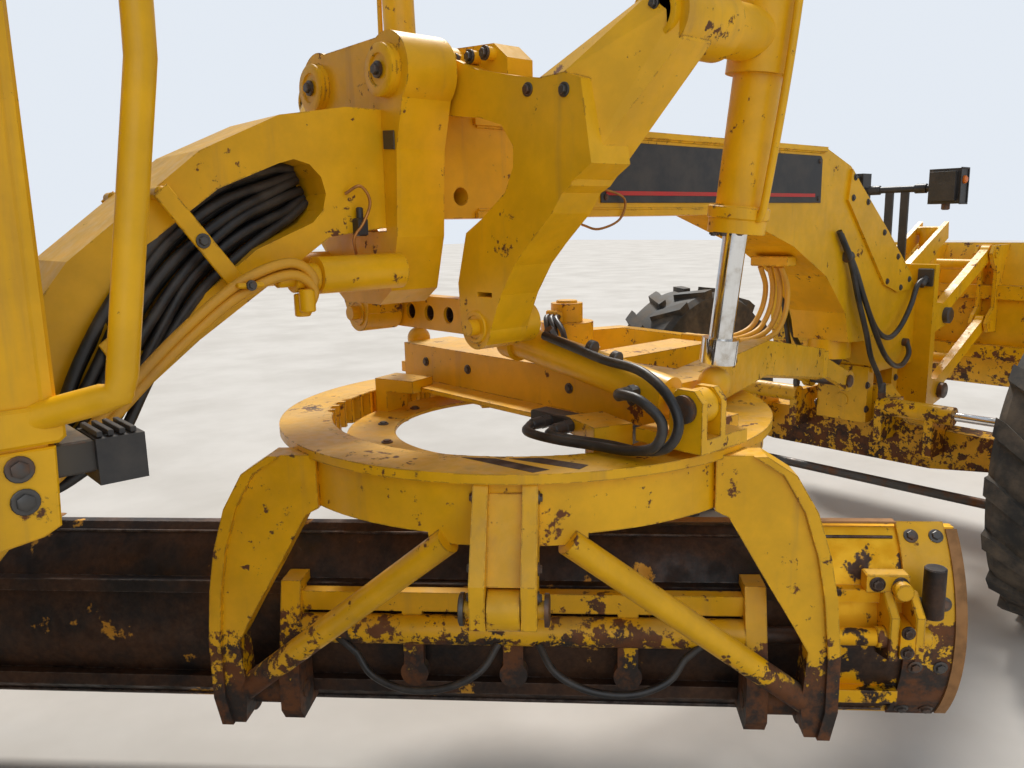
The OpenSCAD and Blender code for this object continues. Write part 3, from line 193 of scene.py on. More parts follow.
# edge wear: how far the bevelled normal leans from the true one, broken up by noise
def makeEdgeWear():
    group, ins, outs = newGroup(
        "edgeWear", [("Radius", number, 0.006), ("Breakup", number, 30.0)], [("Mask", number)]
    )
    bevel = addNode(group, "ShaderNodeBevel", {"Radius": ins["Radius"]}, samples=2).outputs[0]
    true = addNode(group, "ShaderNodeNewGeometry").outputs["Normal"]
    dot = addNode(group, "ShaderNodeVectorMath", {0: bevel, 1: true}, operation="DOT_PRODUCT").outputs["Value"]
    lean = ramp(group, addMath(group, "SUBTRACT", 1.0, dot), 0.01, 0.22)
    broken = ramp(group, noise(group, ins["Breakup"], 5), 0.35, 0.62)
    group.links.new(times(group, lean, broken), outs["Mask"])
    return group


# dust: settles on faces that look up, in patches
def makeDust():
    group, ins, outs = newGroup("settledDust", [("Scale", number, 5.0)], [("Mask", number)])
    normal = addNode(group, "ShaderNodeTexCoord").outputs["Normal"]
    flat = ramp(group, upward(group, normal), 0.2, 0.95)
    patch = ramp(group, noise(group, ins["Scale"], 5, 0.6), 0.38, 0.7)
    group.links.new(times(group, flat, patch), outs["Mask"])
    return group


# height: one below Low, nothing above High
def makeLowDown():
    group, ins, outs = newGroup(
        "lowDown", [("Low", number, 0.3), ("High", number, 0.9)], [("Mask", number)]
    )
    height = upward(group, objectPlace(group))
    group.links.new(ramp(group, height, ins["Low"], ins["High"], 1.0, 0.0), outs["Mask"])
    return group


edgeWear = makeEdgeWear()
settledDust = makeDust()
lowDown = makeLowDown()


def useGroup(tree, group, values):
    return addNode(tree, "ShaderNodeGroup", values, node_tree=group).outputs


# paint over steel: sun-faded colour, chips down to rust and steel, rust runs, dust
aged = {
    "fade": 0.10,
    "faded": (0.88, 0.53, 0.05, 1),
    "run": (0.36, 0.19, 0.06, 1),
    "scale": (0.045, 0.035, 0.03, 1),
    "rust": (0.17, 0.065, 0.025, 1),
    "dust": (0.42, 0.31, 0.15, 1),
    "edge": 0.007,  # metres of worn edge
}


def makeAgedPaint(a):
    inputs = [("Paint", colour, (0.8, 0.42, 0.02, 1)), ("Chips", number, 0.3), ("Low", number, 0.3)]
    inputs += [("High", number, 0.9), ("Low wear", number, 0.3), ("Dust", number, 0.5)]
    outputs = [("Color", colour), ("Roughness", number), ("Metallic", number), ("Height", number)]
    group, ins, outs = newGroup("agedPaint", inputs, outputs)
    paint = mixColour(group, a["fade"], ins["Paint"], a["faded"])
    faded = mixColour(group, ramp(group, noise(group, 1.6, 5), 0.35, 0.7), ins["Paint"], paint)
    blotch = ramp(group, noise(group, 7.0, 5, 0.62), 0.3, 0.75, 0.84, 1.05)
    faded = mixColour(group, 1.0, faded, blotch, "MULTIPLY")
    runs = ramp(group, noise(group, 1.0, 6, 0.6, (16, 16, 1.3)), 0.56, 0.78, 0.0, 0.35)
    faded = mixColour(group, runs, faded, a["run"])
    # chips start at edges, low down and where the noise is high
    edges = useGroup(group, edgeWear, {"Radius": a["edge"]})["Mask"]
    low = useGroup(group, lowDown, {"Low": ins["Low"], "High": ins["High"]})["Mask"]
    drive = times(group, plus(group, times(group, edges, 0.34), 0.05), ins["Chips"])
    drive = plus(group, drive, times(group, times(group, low, ins["Low wear"]), 0.3))
    fine = times(group, noise(group, 26.0, 6, 0.68), 0.6)
    flakes = plus(group, fine, times(group, noise(group, 5.5, 4, 0.6), 0.4))
    chip = ramp(group, plus(group, flakes, drive), 0.62, 0.655)
    metal = mixColour(group, ramp(group, noise(group, 13.0, 5, 0.7), 0.4, 0.62), a["scale"], a["rust"])
    surface = mixColour(group, chip, faded, metal)
    dust = times(group, useGroup(group, settledDust, {"Scale": 6.0})["Mask"], ins["Dust"])
    surface = mixColour(group, dust, surface, a["dust"])
    rough = plus(group, ramp(group, noise(group, 40.0, 3), 0.3, 0.7, 0.3, 0.46), times(group, chip, 0.32))
    rough = plus(group, rough, times(group, dust, 0.3), True)
    grain = times(group, noise(group, 180.0, 2), 0.12)
    made = {"Color": surface, "Roughness": rough, "Metallic": times(group, chip, 0.35)}
    made["Height"] = addMath(group, "SUBTRACT", grain, times(group, chip, 0.5))
    for key, value in made.items():
        group.links.new(value, outs[key])
    return group


agedPaint = makeAgedPaint(aged)


def newMaterial(name):
    material = bpy.data.materials.new(name)
    material.use_nodes = True
    tree = material.node_tree
    tree.nodes.clear()
    shader = addNode(tree, "ShaderNodeBsdfPrincipled")
    out = addNode(tree, "ShaderNodeOutputMaterial")
    tree.links.new(shader.outputs[0], out.inputs[0])
    return material, tree, shader


def addBump(tree, shader, height, strength=0.5, distance=0.001):
    bump = addNode(tree, "ShaderNodeBump", {"Height": height, "Strength": strength, "Distance": distance})
    tree.links.new(bump.outputs[0], shader.inputs["Normal"])


def paintMaterial(name, values):
    material, tree, shader = newMaterial(name)
    made = useGroup(tree, agedPaint, values)
    sockets = {"Base Color": made["Color"], "Roughness": made["Roughness"], "Metallic": made["Metallic"]}
    sockets.update({"Coat Weight": 0.05, "Coat Roughness": 0.25, "Specular IOR Level": 0.35})
    fillSockets(tree, shader, sockets)
    addBump(tree, shader, made["Height"])
    return material


yellowPaint = (0.84, 0.44, 0.003, 1)
darkPaint = (0.035, 0.036, 0.04, 1)
paintNames = ("Paint", "Chips", "Low", "High", "Low wear", "Dust")  # Low and High: metres over the ground
paints = {
    "yellowFrame": (yellowPaint, 0.35, 0.2, 0.9, 0.1, 0.18),
    "yellowWorn": (yellowPaint, 0.85, 0.55, 1.2, 0.35, 0.35),
    "yellowCircle": (yellowPaint, 0.8, 0.28, 0.75, 1.0, 0.35),
    "yellowCab": (yellowPaint, 0.2, 0.2, 0.6, 0.0, 0.15),
    "darkChassis": (darkPaint, 0.4, 0.3, 1.0, 0.25, 0.7),
}
paint = {name: paintMaterial(name, dict(zip(paintNames, values))) for name, values in paints.items()}


# worn blade steel: dark mill scale, brown rust and the last of the yellow paint; the moldboard's ends keep
# more of it, found from the distance along the turned blade to its middle
bladeAlong = (-math.sin(turnAngle), math.cos(turnAngle), 0)
bladeMiddle = float(np.dot(bladeAlong, placed([circleCentre])[0])) + bladeShift / 1000


def bladeMaterial(name, paintLeft, paintedEnds=False):
    material, tree, shader = newMaterial(name)
    rust = ramp(tree, noise(tree, 5.0, 6, 0.65), 0.34, 0.66)
    scale = mixColour(tree, rust, (0.022, 0.018, 0.017, 1), (0.085, 0.04, 0.02, 1))
    fine = ramp(tree, noise(tree, 60.0, 4, 0.7), 0.3, 0.7, 0.75, 1.15)
    scale = mixColour(tree, 1.0, scale, fine, "MULTIPLY")
    left = ramp(tree, noise(tree, 4.2, 7, 0.7), paintLeft, paintLeft + 0.03)
    surface = mixColour(tree, left, scale, (0.62, 0.30, 0.03, 1))
    if paintedEnds:
        place = objectPlace(tree)
        dot = addNode(tree, "ShaderNodeVectorMath", {0: place, 1: bladeAlong}, operation="DOT_PRODUCT")
        away = addMath(tree, "ABSOLUTE", addMath(tree, "SUBTRACT", dot.outputs["Value"], bladeMiddle))
        worn = plus(tree, noise(tree, 7.0, 5, 0.66), ramp(tree, upward(tree, place), 0.35, 0.70, 0.13, 0.0))
        ends = times(tree, ramp(tree, away, 1.36, 1.40), ramp(tree, worn, 0.60, 0.56))
        surface = mixColour(tree, ends, surface, yellowPaint)
    edges = useGroup(tree, edgeWear, {"Radius": 0.006})["Mask"]
    surface = mixColour(tree, times(tree, edges, 0.6), surface, (0.30, 0.26, 0.23, 1))
    rough = ramp(tree, noise(tree, 18.0, 6), 0.3, 0.7, 0.38, 0.72)
    fillSockets(tree, shader, {"Base Color": surface, "Roughness": rough, "Metallic": 0.45})
    addBump(tree, shader, noise(tree, 34.0, 6, 0.7), 0.5, 0.002)
    return material


# a clean colour with dirty patches that are duller; noise is scale, detail and roughness
patchy = {
    "chrome": {"noise": (20.0, 5, 0.6), "from": (0.45, 0.75), "dull": 0.16, "bump": None},
    "rubber": {"noise": (8.0, 5, 0.65), "from": (0.35, 0.72), "dull": 0.25, "bump": (120.0, 4, 0.6, 0.35)},
    "plain": {"noise": (24.0, 6, 0.6), "from": (0.4, 0.75), "dull": 1.0, "bump": (70.0, 5, 0.6, 0.2)},
}
grimeBrown = (0.12, 0.09, 0.06, 1)


def patchyMaterial(name, kind, clean, dirty, rough, grime, metal=0.0):
    material, tree, shader = newMaterial(name)
    look = patchy[kind]
    patch = ramp(tree, noise(tree, *look["noise"]), *look["from"], 0.0, grime)
    rough = plus(tree, times(tree, patch, look["dull"]), rough)
    fillSockets(tree, shader, {"Base Color": mixColour(tree, patch, clean, dirty), "Roughness": rough})
    shader.inputs["Metallic"].default_value = metal
    if look["bump"]:
        *grain, strength = look["bump"]
        addBump(tree, shader, noise(tree, *grain), strength)
    return material


def steelMaterial():
    material, tree, shader = newMaterial("oiledSteel")
    rust = ramp(tree, noise(tree, 9.0, 5, 0.65), 0.45, 0.68)
    base = mixColour(tree, rust, (0.10, 0.095, 0.09, 1), (0.16, 0.07, 0.03, 1))
    rough = ramp(tree, noise(tree, 22.0, 5), 0.3, 0.7, 0.32, 0.62)
    fillSockets(tree, shader, {"Base Color": base, "Roughness": rough, "Metallic": 0.7})
    addBump(tree, shader, noise(tree, 50.0, 6, 0.65), 0.3)
    return material


def glassMaterial():
    material, tree, shader = newMaterial("safetyGlass")
    haze = ramp(tree, noise(tree, 3.0, 6, 0.6), 0.45, 0.8, 0.02, 0.12)
    values = {"Base Color": (0.86, 0.93, 0.92, 1), "Transmission Weight": 1.0, "IOR": 1.45, "Roughness": haze}
    fillSockets(tree, shader, values)
    return material


def clothMaterial():
    material, tree, shader = newMaterial("seatCloth")
    values = {"Vector": objectPlace(tree), "Scale": 160.0, "Distortion": 1.5, "Detail": 2.0}
    weave = addNode(tree, "ShaderNodeTexWave", values).outputs[1]
    base = mixColour(tree, weave, (0.018, 0.019, 0.022, 1), (0.05, 0.052, 0.058, 1))
    fillSockets(tree, shader, {"Base Color": base, "Roughness": 0.92})
    addBump(tree, shader, weave, 0.4)
    return material


blade = bladeMaterial("wornBlade", 0.62, True)
bareEdge = bladeMaterial("wornEdge", 0.8)
rustSteel = bladeMaterial("rustSteel", 0.9)
rodFinish = patchyMaterial("polishedRod", "chrome", (0.78, 0.79, 0.80, 1), (0.5, 0.46, 0.4, 1), 0.1, 1.0, 1.0)
steel = steelMaterial()
glass = glassMaterial()
cloth = clothMaterial()
rubbers = {  # clean colour, dirt, roughness and how much of the dirt
    "tyreRubber": ((0.022, 0.022, 0.021, 1), (0.17, 0.13, 0.09, 1), 0.66, 0.75),
    "hoseRubber": ((0.012, 0.012, 0.013, 1), (0.12, 0.10, 0.08, 1), 0.4, 0.45),
    "yellowHose": ((0.72, 0.36, 0.02, 1), (0.34, 0.2, 0.07, 1), 0.45, 0.5),
    "blackPlastic": ((0.02, 0.02, 0.022, 1), (0.12, 0.1, 0.08, 1), 0.42, 0.35),
    "redStripe": ((0.55, 0.02, 0.015, 1), (0.3, 0.1, 0.05, 1), 0.35, 0.25),
}
rubber = {name: patchyMaterial(name, "rubber", *values) for name, values in rubbers.items()}
plains = {  # colour, roughness and metal
    # tanEdge on the moldboard's top bar is a painted highlight of the lit top edge
    "tanEdge": ((0.34, 0.16, 0.05, 1), 0.5, 0.3),
    "brassLine": ((0.45, 0.2, 0.05, 1), 0.35, 0.7),
    "lampLens": ((0.75, 0.78, 0.8, 1), 0.08, 0.0),
    "amberLens": ((0.8, 0.18, 0.01, 1), 0.15, 0.0),
    "redLens": ((0.5, 0.01, 0.01, 1), 0.15, 0.0),
    "mirrorFace": ((0.8, 0.82, 0.84, 1), 0.04, 1.0),
}
plain = {
    name: patchyMaterial(name, "plain", base, grimeBrown, rough, 0.35, metal)
    for name, (base, rough, metal) in plains.items()
}

# each look is a material and its slot in the record
blackHose = (rubber["hoseRubber"], "hose_rubber")
yellowSleeve = (rubber["yellowHose"], "hose_rubber")
frameYellow = (paint["yellowFrame"], "yellow_paint")
bareSteel = (steel, "bare_steel")
blackPlastic = (rubber["blackPlastic"], "black_plastic")
redPaint = (rubber["redStripe"], "yellow_paint")
rustyFitting = (rustSteel, "bare_steel")
brassPipe = (plain["brassLine"], "bare_steel")
circleYellow = (paint["yellowCircle"], "yellow_paint")
wornSteel = (rustSteel, "worn_steel")
wornYellow = (paint["yellowWorn"], "yellow_paint")
tanSteel = (plain["tanEdge"], "worn_steel")
clearLens = (plain["lampLens"], "glass")
amberLens = (plain["amberLens"], "black_plastic")
cabYellow = (paint["yellowCab"], "yellow_paint")
cabGlass = (glass, "glass")
mirrorGlass = (plain["mirrorFace"], "glass")
seatCloth = (cloth, "seat_cloth")
redGlass = (plain["redLens"], "black_plastic")
chassisDark = (paint["darkChassis"], "dark_paint")

nodePaint = {
    "yellow_paint": paint["yellowFrame"],
    "dark_paint": paint["darkChassis"],
    "bare_steel": steel,
    "worn_steel": blade,
    "rod_chrome": rodFinish,
    "black_plastic": rubber["blackPlastic"],
    "hose_rubber": rubber["hoseRubber"],
    "glass": glass,
    "seat_cloth": cloth,
    "tyre": rubber["tyreRubber"],
}
ownPaint = {
    "circle": paint["yellowCircle"],
    "blade_carrier": paint["yellowCircle"],
    "drawbar": paint["yellowWorn"],
    "circle_drive": paint["yellowWorn"],
    "dozer_blade": paint["yellowWorn"],
    "tandem_axle": paint["yellowWorn"],
    "front_axle": paint["yellowWorn"],
    "cab_shell": paint["yellowCab"],
    "cab_roof": paint["yellowCab"],
    "cab_door_left": paint["yellowCab"],
    "cab_door_right": paint["yellowCab"],
    "cutting_edge": bareEdge,
}
for part in frame["record"]["subparts"]:
    name = part["node"]
    target = frame["nodes"][name]
    target.data.materials.clear()
    target.data.materials.append(ownPaint.get(name, nodePaint[part["material_slot"]]))
print("materials given to the frame")


# one mesh from many surfaces, each a list of points and faces in machine millimetres
def addPiece(name, body, look, surfaces, place=placed):
    material, slot = look
    points, faces, count = [], [], 0
    for some, theirs in surfaces:
        points.append(place(some))
        faces += [[i + count for i in face] for face in theirs]
        count += len(some)
    mesh = bpy.data.meshes.new(name)
    mesh.from_pydata(np.vstack(points).tolist(), [], faces)
    mesh.materials.append(material)
    mesh.polygons.foreach_set("use_smooth", np.full(len(mesh.polygons), True))
    mesh.set_sharp_from_angle(angle=math.radians(38))
    mesh.update()
    obj = bpy.data.objects.new(name, mesh)
    bpy.context.scene.collection.objects.link(obj)
    if body:  # a piece given no body stays unparented
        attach(obj, body)
    return obj


# faces of a grid of rows by columns, the columns closed into a loop
def ringFaces(rows, columns):
    r, c = np.meshgrid(np.arange(rows - 1), np.arange(columns), indexing="ij")
    a = r * columns + c
    b = r * columns + (c + 1) % columns
    return np.stack([a, b, b + columns, a + columns], -1).reshape(-1, 4).tolist()


# smooth curve: each stretch is the cubic through four neighbouring points
def smoothPath(points, perStretch=6):
    p = np.asarray(points, float)
    p = np.vstack([2 * p[0] - p[1], p, 2 * p[-1] - p[-2]])
    t = np.linspace(0, 1, perStretch, endpoint=False)[None, :, None]
    a, b, c, d = (p[i : len(p) - 3 + i, None, :] for i in range(4))
    curve = 0.5 * (2 * b + (c - a) * t + (2 * a - 5 * b + 4 * c - d) * t**2 + (3 * b - a - 3 * c + d) * t**3)
    return np.vstack([curve.reshape(-1, 3), p[-2]])


# tube: a circle of the given radius carried square to the path, closed at both ends
def tube(path, radius, sides=10):
    path = np.asarray(path, float)
    along = np.gradient(path, axis=0)
    along /= np.linalg.norm(along, axis=1, keepdims=True)
    reference = np.eye(3)[int(np.argmin(np.abs(along).max(0)))]
    across = np.cross(along, reference)
    across /= np.linalg.norm(across, axis=1, keepdims=True)
    upward = np.cross(across, along)
    angle = np.linspace(0, 2 * np.pi, sides, endpoint=False)
    radius = np.broadcast_to(np.asarray(radius, float), (len(path),))[:, None, None]
    ring = path[:, None] + radius * (
        np.cos(angle)[None, :, None] * across[:, None] + np.sin(angle)[None, :, None] * upward[:, None]
    )
    faces = ringFaces(len(path), sides)
    last = (len(path) - 1) * sides
    faces += [list(range(sides))[::-1], list(range(last, last + sides))]
    return ring.reshape(-1, 3), [face[::-1] for face in faces]


def hose(points, radius, sides=10):
    return tube(smoothPath(points), radius, sides)


# slab: an outline carried through its thickness, drawn in by the bevel at both faces
def slab(outline, low, high, plane, bevel=3.0):
    outline = np.asarray(outline, float)
    ahead = np.roll(outline, -1, 0) - outline
    behind = outline - np.roll(outline, 1, 0)
    ahead /= np.linalg.norm(ahead, axis=1, keepdims=True)
    behind /= np.linalg.norm(behind, axis=1, keepdims=True)
    area = np.sum(outline[:, 0] * np.roll(outline[:, 1], -1) - np.roll(outline[:, 0], -1) * outline[:, 1])
    turn = np.sign(area)
    inward = turn * np.stack([-(ahead + behind)[:, 1], (ahead + behind)[:, 0]], 1)
    inward /= np.maximum(1 + np.sum(ahead * behind, 1, keepdims=True), 0.3)
    steps = [(bevel, low), (0, low + bevel), (0, high - bevel), (bevel, high)]
    count = len(outline)
    rings = [np.column_stack([outline + inward * inset, np.full(count, level)]) for inset, level in steps]
    faces = ringFaces(4, count) + [list(range(count))[::-1], list(range(3 * count, 4 * count))]
    if turn < 0:
        faces = [face[::-1] for face in faces]
    if plane == "xz":
        faces = [face[::-1] for face in faces]
    return np.vstack(rings)[:, {"xz": [0, 2, 1], "xy": [0, 1, 2], "yz": [2, 0, 1]}[plane]], faces


def rect(x0, x1, z0, z1):
    return [(x0, z0), (x1, z0), (x1, z1), (x0, z1)]


def block(x0, x1, y0, y1, z0, z1, bevel=4.0):
    return slab(rect(x0, x1, y0, y1), z0, z1, "xy", bevel)


# four bars round a rectangle, as a window seal or a frame
def frameBars(x0, x1, z0, z1, width, low, high, plane):
    return [
        slab(rect(x0, x1, z0, z0 + width), low, high, plane, 2),
        slab(rect(x0, x1, z1 - width, z1), low, high, plane, 2),
        slab(rect(x0, x0 + width, z0 + width, z1 - width), low, high, plane, 2),
        slab(rect(x1 - width, x1, z0 + width, z1 - width), low, high, plane, 2),
    ]


# turned piece: a profile of radius and height carried round the axis through the centre
def turned(centre, axis, profile, sides=28, capped=True):
    axis = np.asarray(axis, float) / np.linalg.norm(axis)
    side = np.cross(axis, np.eye(3)[int(np.argmin(np.abs(axis)))])
    side /= np.linalg.norm(side)
    up = np.cross(axis, side)
    angle = np.linspace(0, 2 * np.pi, sides, endpoint=False)
    flat = np.cos(angle)[:, None] * side + np.sin(angle)[:, None] * up
    profile = np.asarray(profile, float)
    rings = np.asarray(centre, float) + profile[:, 0, None, None] * flat + profile[:, 1, None, None] * axis
    rows = len(profile)
    faces = ringFaces(rows, sides)
    if capped:
        faces += [list(range(sides))[::-1], list(range((rows - 1) * sides, rows * sides))]
    return rings.reshape(-1, 3), faces


# flat ring between two radii and two levels, round the upright axis
def flatRing(centre, inner, outer, low, high, sides=120):
    edge = 2
    profile = [(inner, low), (outer - edge, low), (outer, low + edge), (outer - edge, high)]
    profile += [(inner + edge, high), (inner, high - edge), (inner, low)]
    return turned(centre, (0, 0, 1), profile, sides, capped=False)


def rod(centre, axis, radius, length, bevel=3.0, sides=28):
    h = length / 2
    profile = [(radius - bevel, -h), (radius, bevel - h), (radius, h - bevel), (radius - bevel, h)]
    return turned(centre, axis, profile, sides)


# bolt: a round washer with a six-sided head drawn in at its top
def bolt(centre, axis, radius=14.0, height=13.0):
    washer = turned(centre, axis, [(radius * 1.5, -2), (radius * 1.5, 3), (radius * 1.4, 4)], 16)
    head = turned(centre, axis, [(radius, 0), (radius, height * 0.85), (radius * 0.84, height)], 6)
    return [washer, head]


# hydraulic fitting: a collar, a six-sided nut and a short crimped sleeve along the axis
fittingRings = [  # sides, and the profile's radii and heights; the radii are times the hose's own
    (16, [(1.3, 0), (1.3, 10), (1.1, 12)]),
    (6, [(1.65, 10), (1.65, 30), (1.4, 33)]),
    (16, [(1.35, 32), (1.45, 36), (1.35, 70), (1.0, 74)]),
]


def fitting(centre, axis, radius):
    return [
        turned(centre, axis, [(radius * r, h) for r, h in profile], sides)
        for sides, profile in fittingRings
    ]


def bolts(spots, axis, radius, height):
    return [surface for spot in spots for surface in bolt(spot, axis, radius, height)]


def around(x, y, z, radius, degrees):  # points on a level circle
    turns = [math.radians(a) for a in degrees]
    return [(x + radius * math.cos(a), y + radius * math.sin(a), z) for a in turns]


def both(make):  # the same on the left and on the right
    return [surface for s in (1, -1) for surface in make(s)]


def span(side, near, far):  # two distances on one side, the lower first
    return sorted((side * near, side * far))


# hoses that leave the frame's opening, run down its side and end in a clamp block under the cab
frameHoses = {
    "middle": [(-3095, 1874), (-3160, 1848), (-3300, 1792), (-3440, 1694), (-3540, 1580), (-3612, 1470),
               (-3672, 1372), (-3745, 1300), (-3815, 1258)],
    "out": [44, 62, 100, 128, 152, 166, 168, 166, 160],
    "fan": [0.8, 1.0, 1.15, 1.2, 1.2, 1.1, 1.0, 0.75, 0.5],
    "lanes": 6,
    "step": 25,
    "radius": 12.5,
}


def hoseFan(side, layer):
    h = frameHoses
    middle = np.array(h["middle"], float)
    along = np.gradient(middle, axis=0)
    along /= np.linalg.norm(along, axis=1, keepdims=True)
    square = np.column_stack([along[:, 1], -along[:, 0]])
    lanes = np.arange(h["lanes"] - layer) - (h["lanes"] - layer - 1) / 2
    surfaces = []
    for lane in lanes:
        wave = 5 * np.sin(np.arange(len(middle)) * 1.7 + lane * 2.1 + layer)
        shift = lane * h["step"] * np.array(h["fan"]) + wave
        out = np.array(h["out"]) - 28 * layer + 3 * np.cos(lane * 2)
        spot = middle + square * shift[:, None]
        surfaces.append(hose(np.column_stack([spot[:, 0], side * out, spot[:, 1]]), h["radius"]))
    return surfaces


blackHoses = addPiece("frame_hose_bundle", "front_frame", blackHose, both(lambda s:
    hoseFan(s, 0)
    + hoseFan(s, 1)
    + [block(-3852, -3768, *span(s, 141, 224), 1206, 1304)]
))
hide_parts("frame_hoses")

sleeved = {
    "path": [(-3182, 1600), (-3163, 1652), (-3222, 1690), (-3344, 1652), (-3486, 1552), (-3620, 1432),
             (-3745, 1316), (-3812, 1270)],
    "out": [216, 222, 226, 224, 222, 218, 206, 196],
    "radius": 12,
    "shifts": [(0, 0), (0, 27), (-26, 12)],
}

addPiece("sleeved_hoses", "front_frame", yellowSleeve, both(lambda s: [
    hose([
        (x, s * (y + out), z - down) for (x, z), y in zip(sleeved["path"], sleeved["out"])
    ], sleeved["radius"])
    for out, down in sleeved["shifts"]
]))
lockEnd = {"y": 186, "z": 1651}
addPiece("hose_clamps", "front_frame", frameYellow, both(lambda s: [
    slab([(-3500, 1842), (-3470, 1866), (-3296, 1632), (-3330, 1610)], *span(s, 182, 190), "xz", 2),
    slab([(-3640, 1540), (-3612, 1560), (-3560, 1470), (-3590, 1450)], *span(s, 182, 190), "xz", 2),
    rod((-3482, s * 162, 1848), (0, 1, 0), 14, 46),
    rod((-3322, s * 162, 1632), (0, 1, 0), 14, 46),
    block(-3360, -3300, *span(s, 190, 252), 1640, 1652),
    rod((-3168, s * lockEnd["y"], lockEnd["z"]), (1, 0, 0), 34, 66),
    rod((-3210, s * lockEnd["y"], lockEnd["z"]), (1, 0, 0), 20, 60),
    rod((-3182, s * 222, 1600), (0, 0, 1), 19, 54),
    rod((-3182, s * 196, 1588), (0, 0, 1), 19, 54),
]))
addPiece("clamp_bolts", "front_frame", bareSteel, both(lambda s:
    bolt((-3405, s * 190, 1745), (0, s, 0), 11, 10)
    + bolt((-3330, s * 252, 1646), (0, s, 0), 8, 8)
))
print("frame hoses made")

# bare panel with a stripe on each side of the neck
panel = {"outline": [(-2083, 1828), (-2083, 2022), (-720, 2022), (-707, 2008), (-707, 1828)], "out": 143}
addPiece("side_panels", "front_frame", blackPlastic, [
    slab(panel["outline"], s * panel["out"] - 2.5, s * panel["out"] + 2.5, "xz", 1.5)
    for s in (1, -1)
])
stripe = {"outline": rect(-2060, -760, 1852, 1866), "out": 146.5}
addPiece("side_stripes", "front_frame", redPaint, [
    slab(stripe["outline"], s * stripe["out"] - 1.2, s * stripe["out"] + 1.2, "xz", 0.5)
    for s in (1, -1)
])

# bolts on the frame: panel corners, bolster and neck cover
frameBolts = {
    "panel": [(-2060, 1846), (-2060, 2004), (-1400, 2004), (-730, 1846), (-730, 2000)],
    "bolster": [(-150, 830), (-150, 950), (150, 830), (150, 950)],
    "cover": [(-430, 1940), (-300, 1832), (-120, 1690), (40, 1570), (180, 1452), (90, 1416),
              (-60, 1455), (-440, 1850)],
}
addPiece("frame_bolts", "front_frame", bareSteel, both(lambda s:
    bolts([(x, s * 145.5, z) for x, z in frameBolts["panel"]], (0, s, 0), 7, 6)
    + bolts([(x, s * 153, z) for x, z in frameBolts["cover"]], (0, s, 0), 10, 9)
    + bolts([(x, s * 130, z) for x, z in frameBolts["bolster"]], (0, s, 0), 12, 11)
))
# weld beads along the neck, where its side plates meet the flanges
weld = {"radius": 6, "top": [(-2590, 2038), (-1900, 2038), (-1200, 2038), (-690, 2038)],
        "low": [(-2590, 1807), (-2000, 1807), (-1345, 1807)]}
addPiece("neck_welds", "front_frame", frameYellow, both(lambda s: [
    hose([(x, s * 141, z) for x, z in weld[key]], weld["radius"], 8)
    for key in ("top", "low")
]))
print("neck dressed")

# saddle and bell cranks: pin discs with retainers, collars of the link bar, cap bolts, bare plates
crankDiscs = [  # x, y, z, sides, and the profile's radii and heights
    (-2597, 790, 2210, 36, [(58, 0), (58, 14), (52, 17), (46, 17), (44, 12), (20, 12), (18, 16)]),
    (-2738, 300, 1500, 30, [(44, -2), (44, 3), (42, 5), (32, 5), (30, 3), (20, 3)]),
    (-2912, 175, 2150, 32, [(64, 0), (64, 12), (60, 15), (40, 15), (38, 10), (22, 10)]),
]
crankBolts = [  # x, y, z and radius
    (-2721, 225, 2185, 12), (-2721, 285, 2185, 12), (-2721, 345, 2185, 12), (-2614, 790, 2228, 9),
    (-2614, 790, 2192, 9), (-2927, 175, 2150, 14), (-2738, 640, 2060, 11), (-2738, 520, 2075, 11),
]
addPiece("crank_discs", "front_frame", frameYellow, both(lambda s: [
    turned((x, s * y, z), (-1, 0, 0), profile, sides)
    for x, y, z, sides, profile in crankDiscs
]))
addPiece("crank_bolts", "front_frame", bareSteel, both(lambda s: [
    piece for x, y, z, r in crankBolts for piece in bolt((x, s * y, z), (-1, 0, 0), r, r)
]))
linkBar = {"front": -2528, "back": -2578, "holes": [-200, -100, 0, 100, 200], "z": 1500}
addPiece("link_collars", "front_frame", rustyFitting, [
    turned((x, y, linkBar["z"]), (d, 0, 0), [(38, -4), (38, 12), (34, 15), (24, 15), (22, -8)], 6)
    for y in linkBar["holes"] for x, d in ((linkBar["back"], -1), (linkBar["front"], 1))
])
addPiece("bare_plate", "front_frame", bareSteel, [
    slab([(-200, 2004), (-150, 2008), (-150, 1962), (-200, 1958)], -2904, -2901, "yz", 1),
])
# a thin hose and its loops hang from the crank to the beam
addPiece("crank_lines", "front_frame", blackHose, both(lambda s: [
    hose([(-2512, s * 600, 2150), (-2440, s * 520, 2090), (-2330, s * 420, 1990), (-2200, s * 300, 1915),
        (-2130, s * 190, 1905), (-2110, s * 146, 1930)], 11),
    hose([(-2520, s * 585, 2120), (-2450, s * 505, 2060), (-2350, s * 400, 1955), (-2230, s * 280, 1880),
        (-2150, s * 185, 1880), (-2130, s * 146, 1905)], 11),
    hose([(-2512, s * 600, 2150), (-2560, s * 690, 2220), (-2500, s * 760, 2300), (-2400, s * 770, 2290),
        (-2290, s * 775, 2262)], 11),
]))
addPiece("brass_lines", "front_frame", brassPipe, both(lambda s: [
    hose([(-2128, s * 144, 1840), (-2090, s * 160, 1868), (-1990, s * 162, 1840), (-2010, s * 160, 1775),
        (-2100, s * 150, 1745), (-2170, s * 143, 1760)], 4, 8),
    hose([(-3020, s * 146, 1850), (-2990, s * 170, 1868), (-2965, s * 172, 1830), (-2985, s * 170, 1780),
        (-3010, s * 160, 1740), (-3000, s * 150, 1700)], 4, 8),
]))
addPiece("sensor_blocks", "front_frame", blackPlastic, both(lambda s: [
    block(-3000, -2972, *span(s, 140, 168), 1745, 1790),
    rod((-2986, s * 154, 1802), (0, 0, 1), 9, 30),
]))
print("saddle dressed")

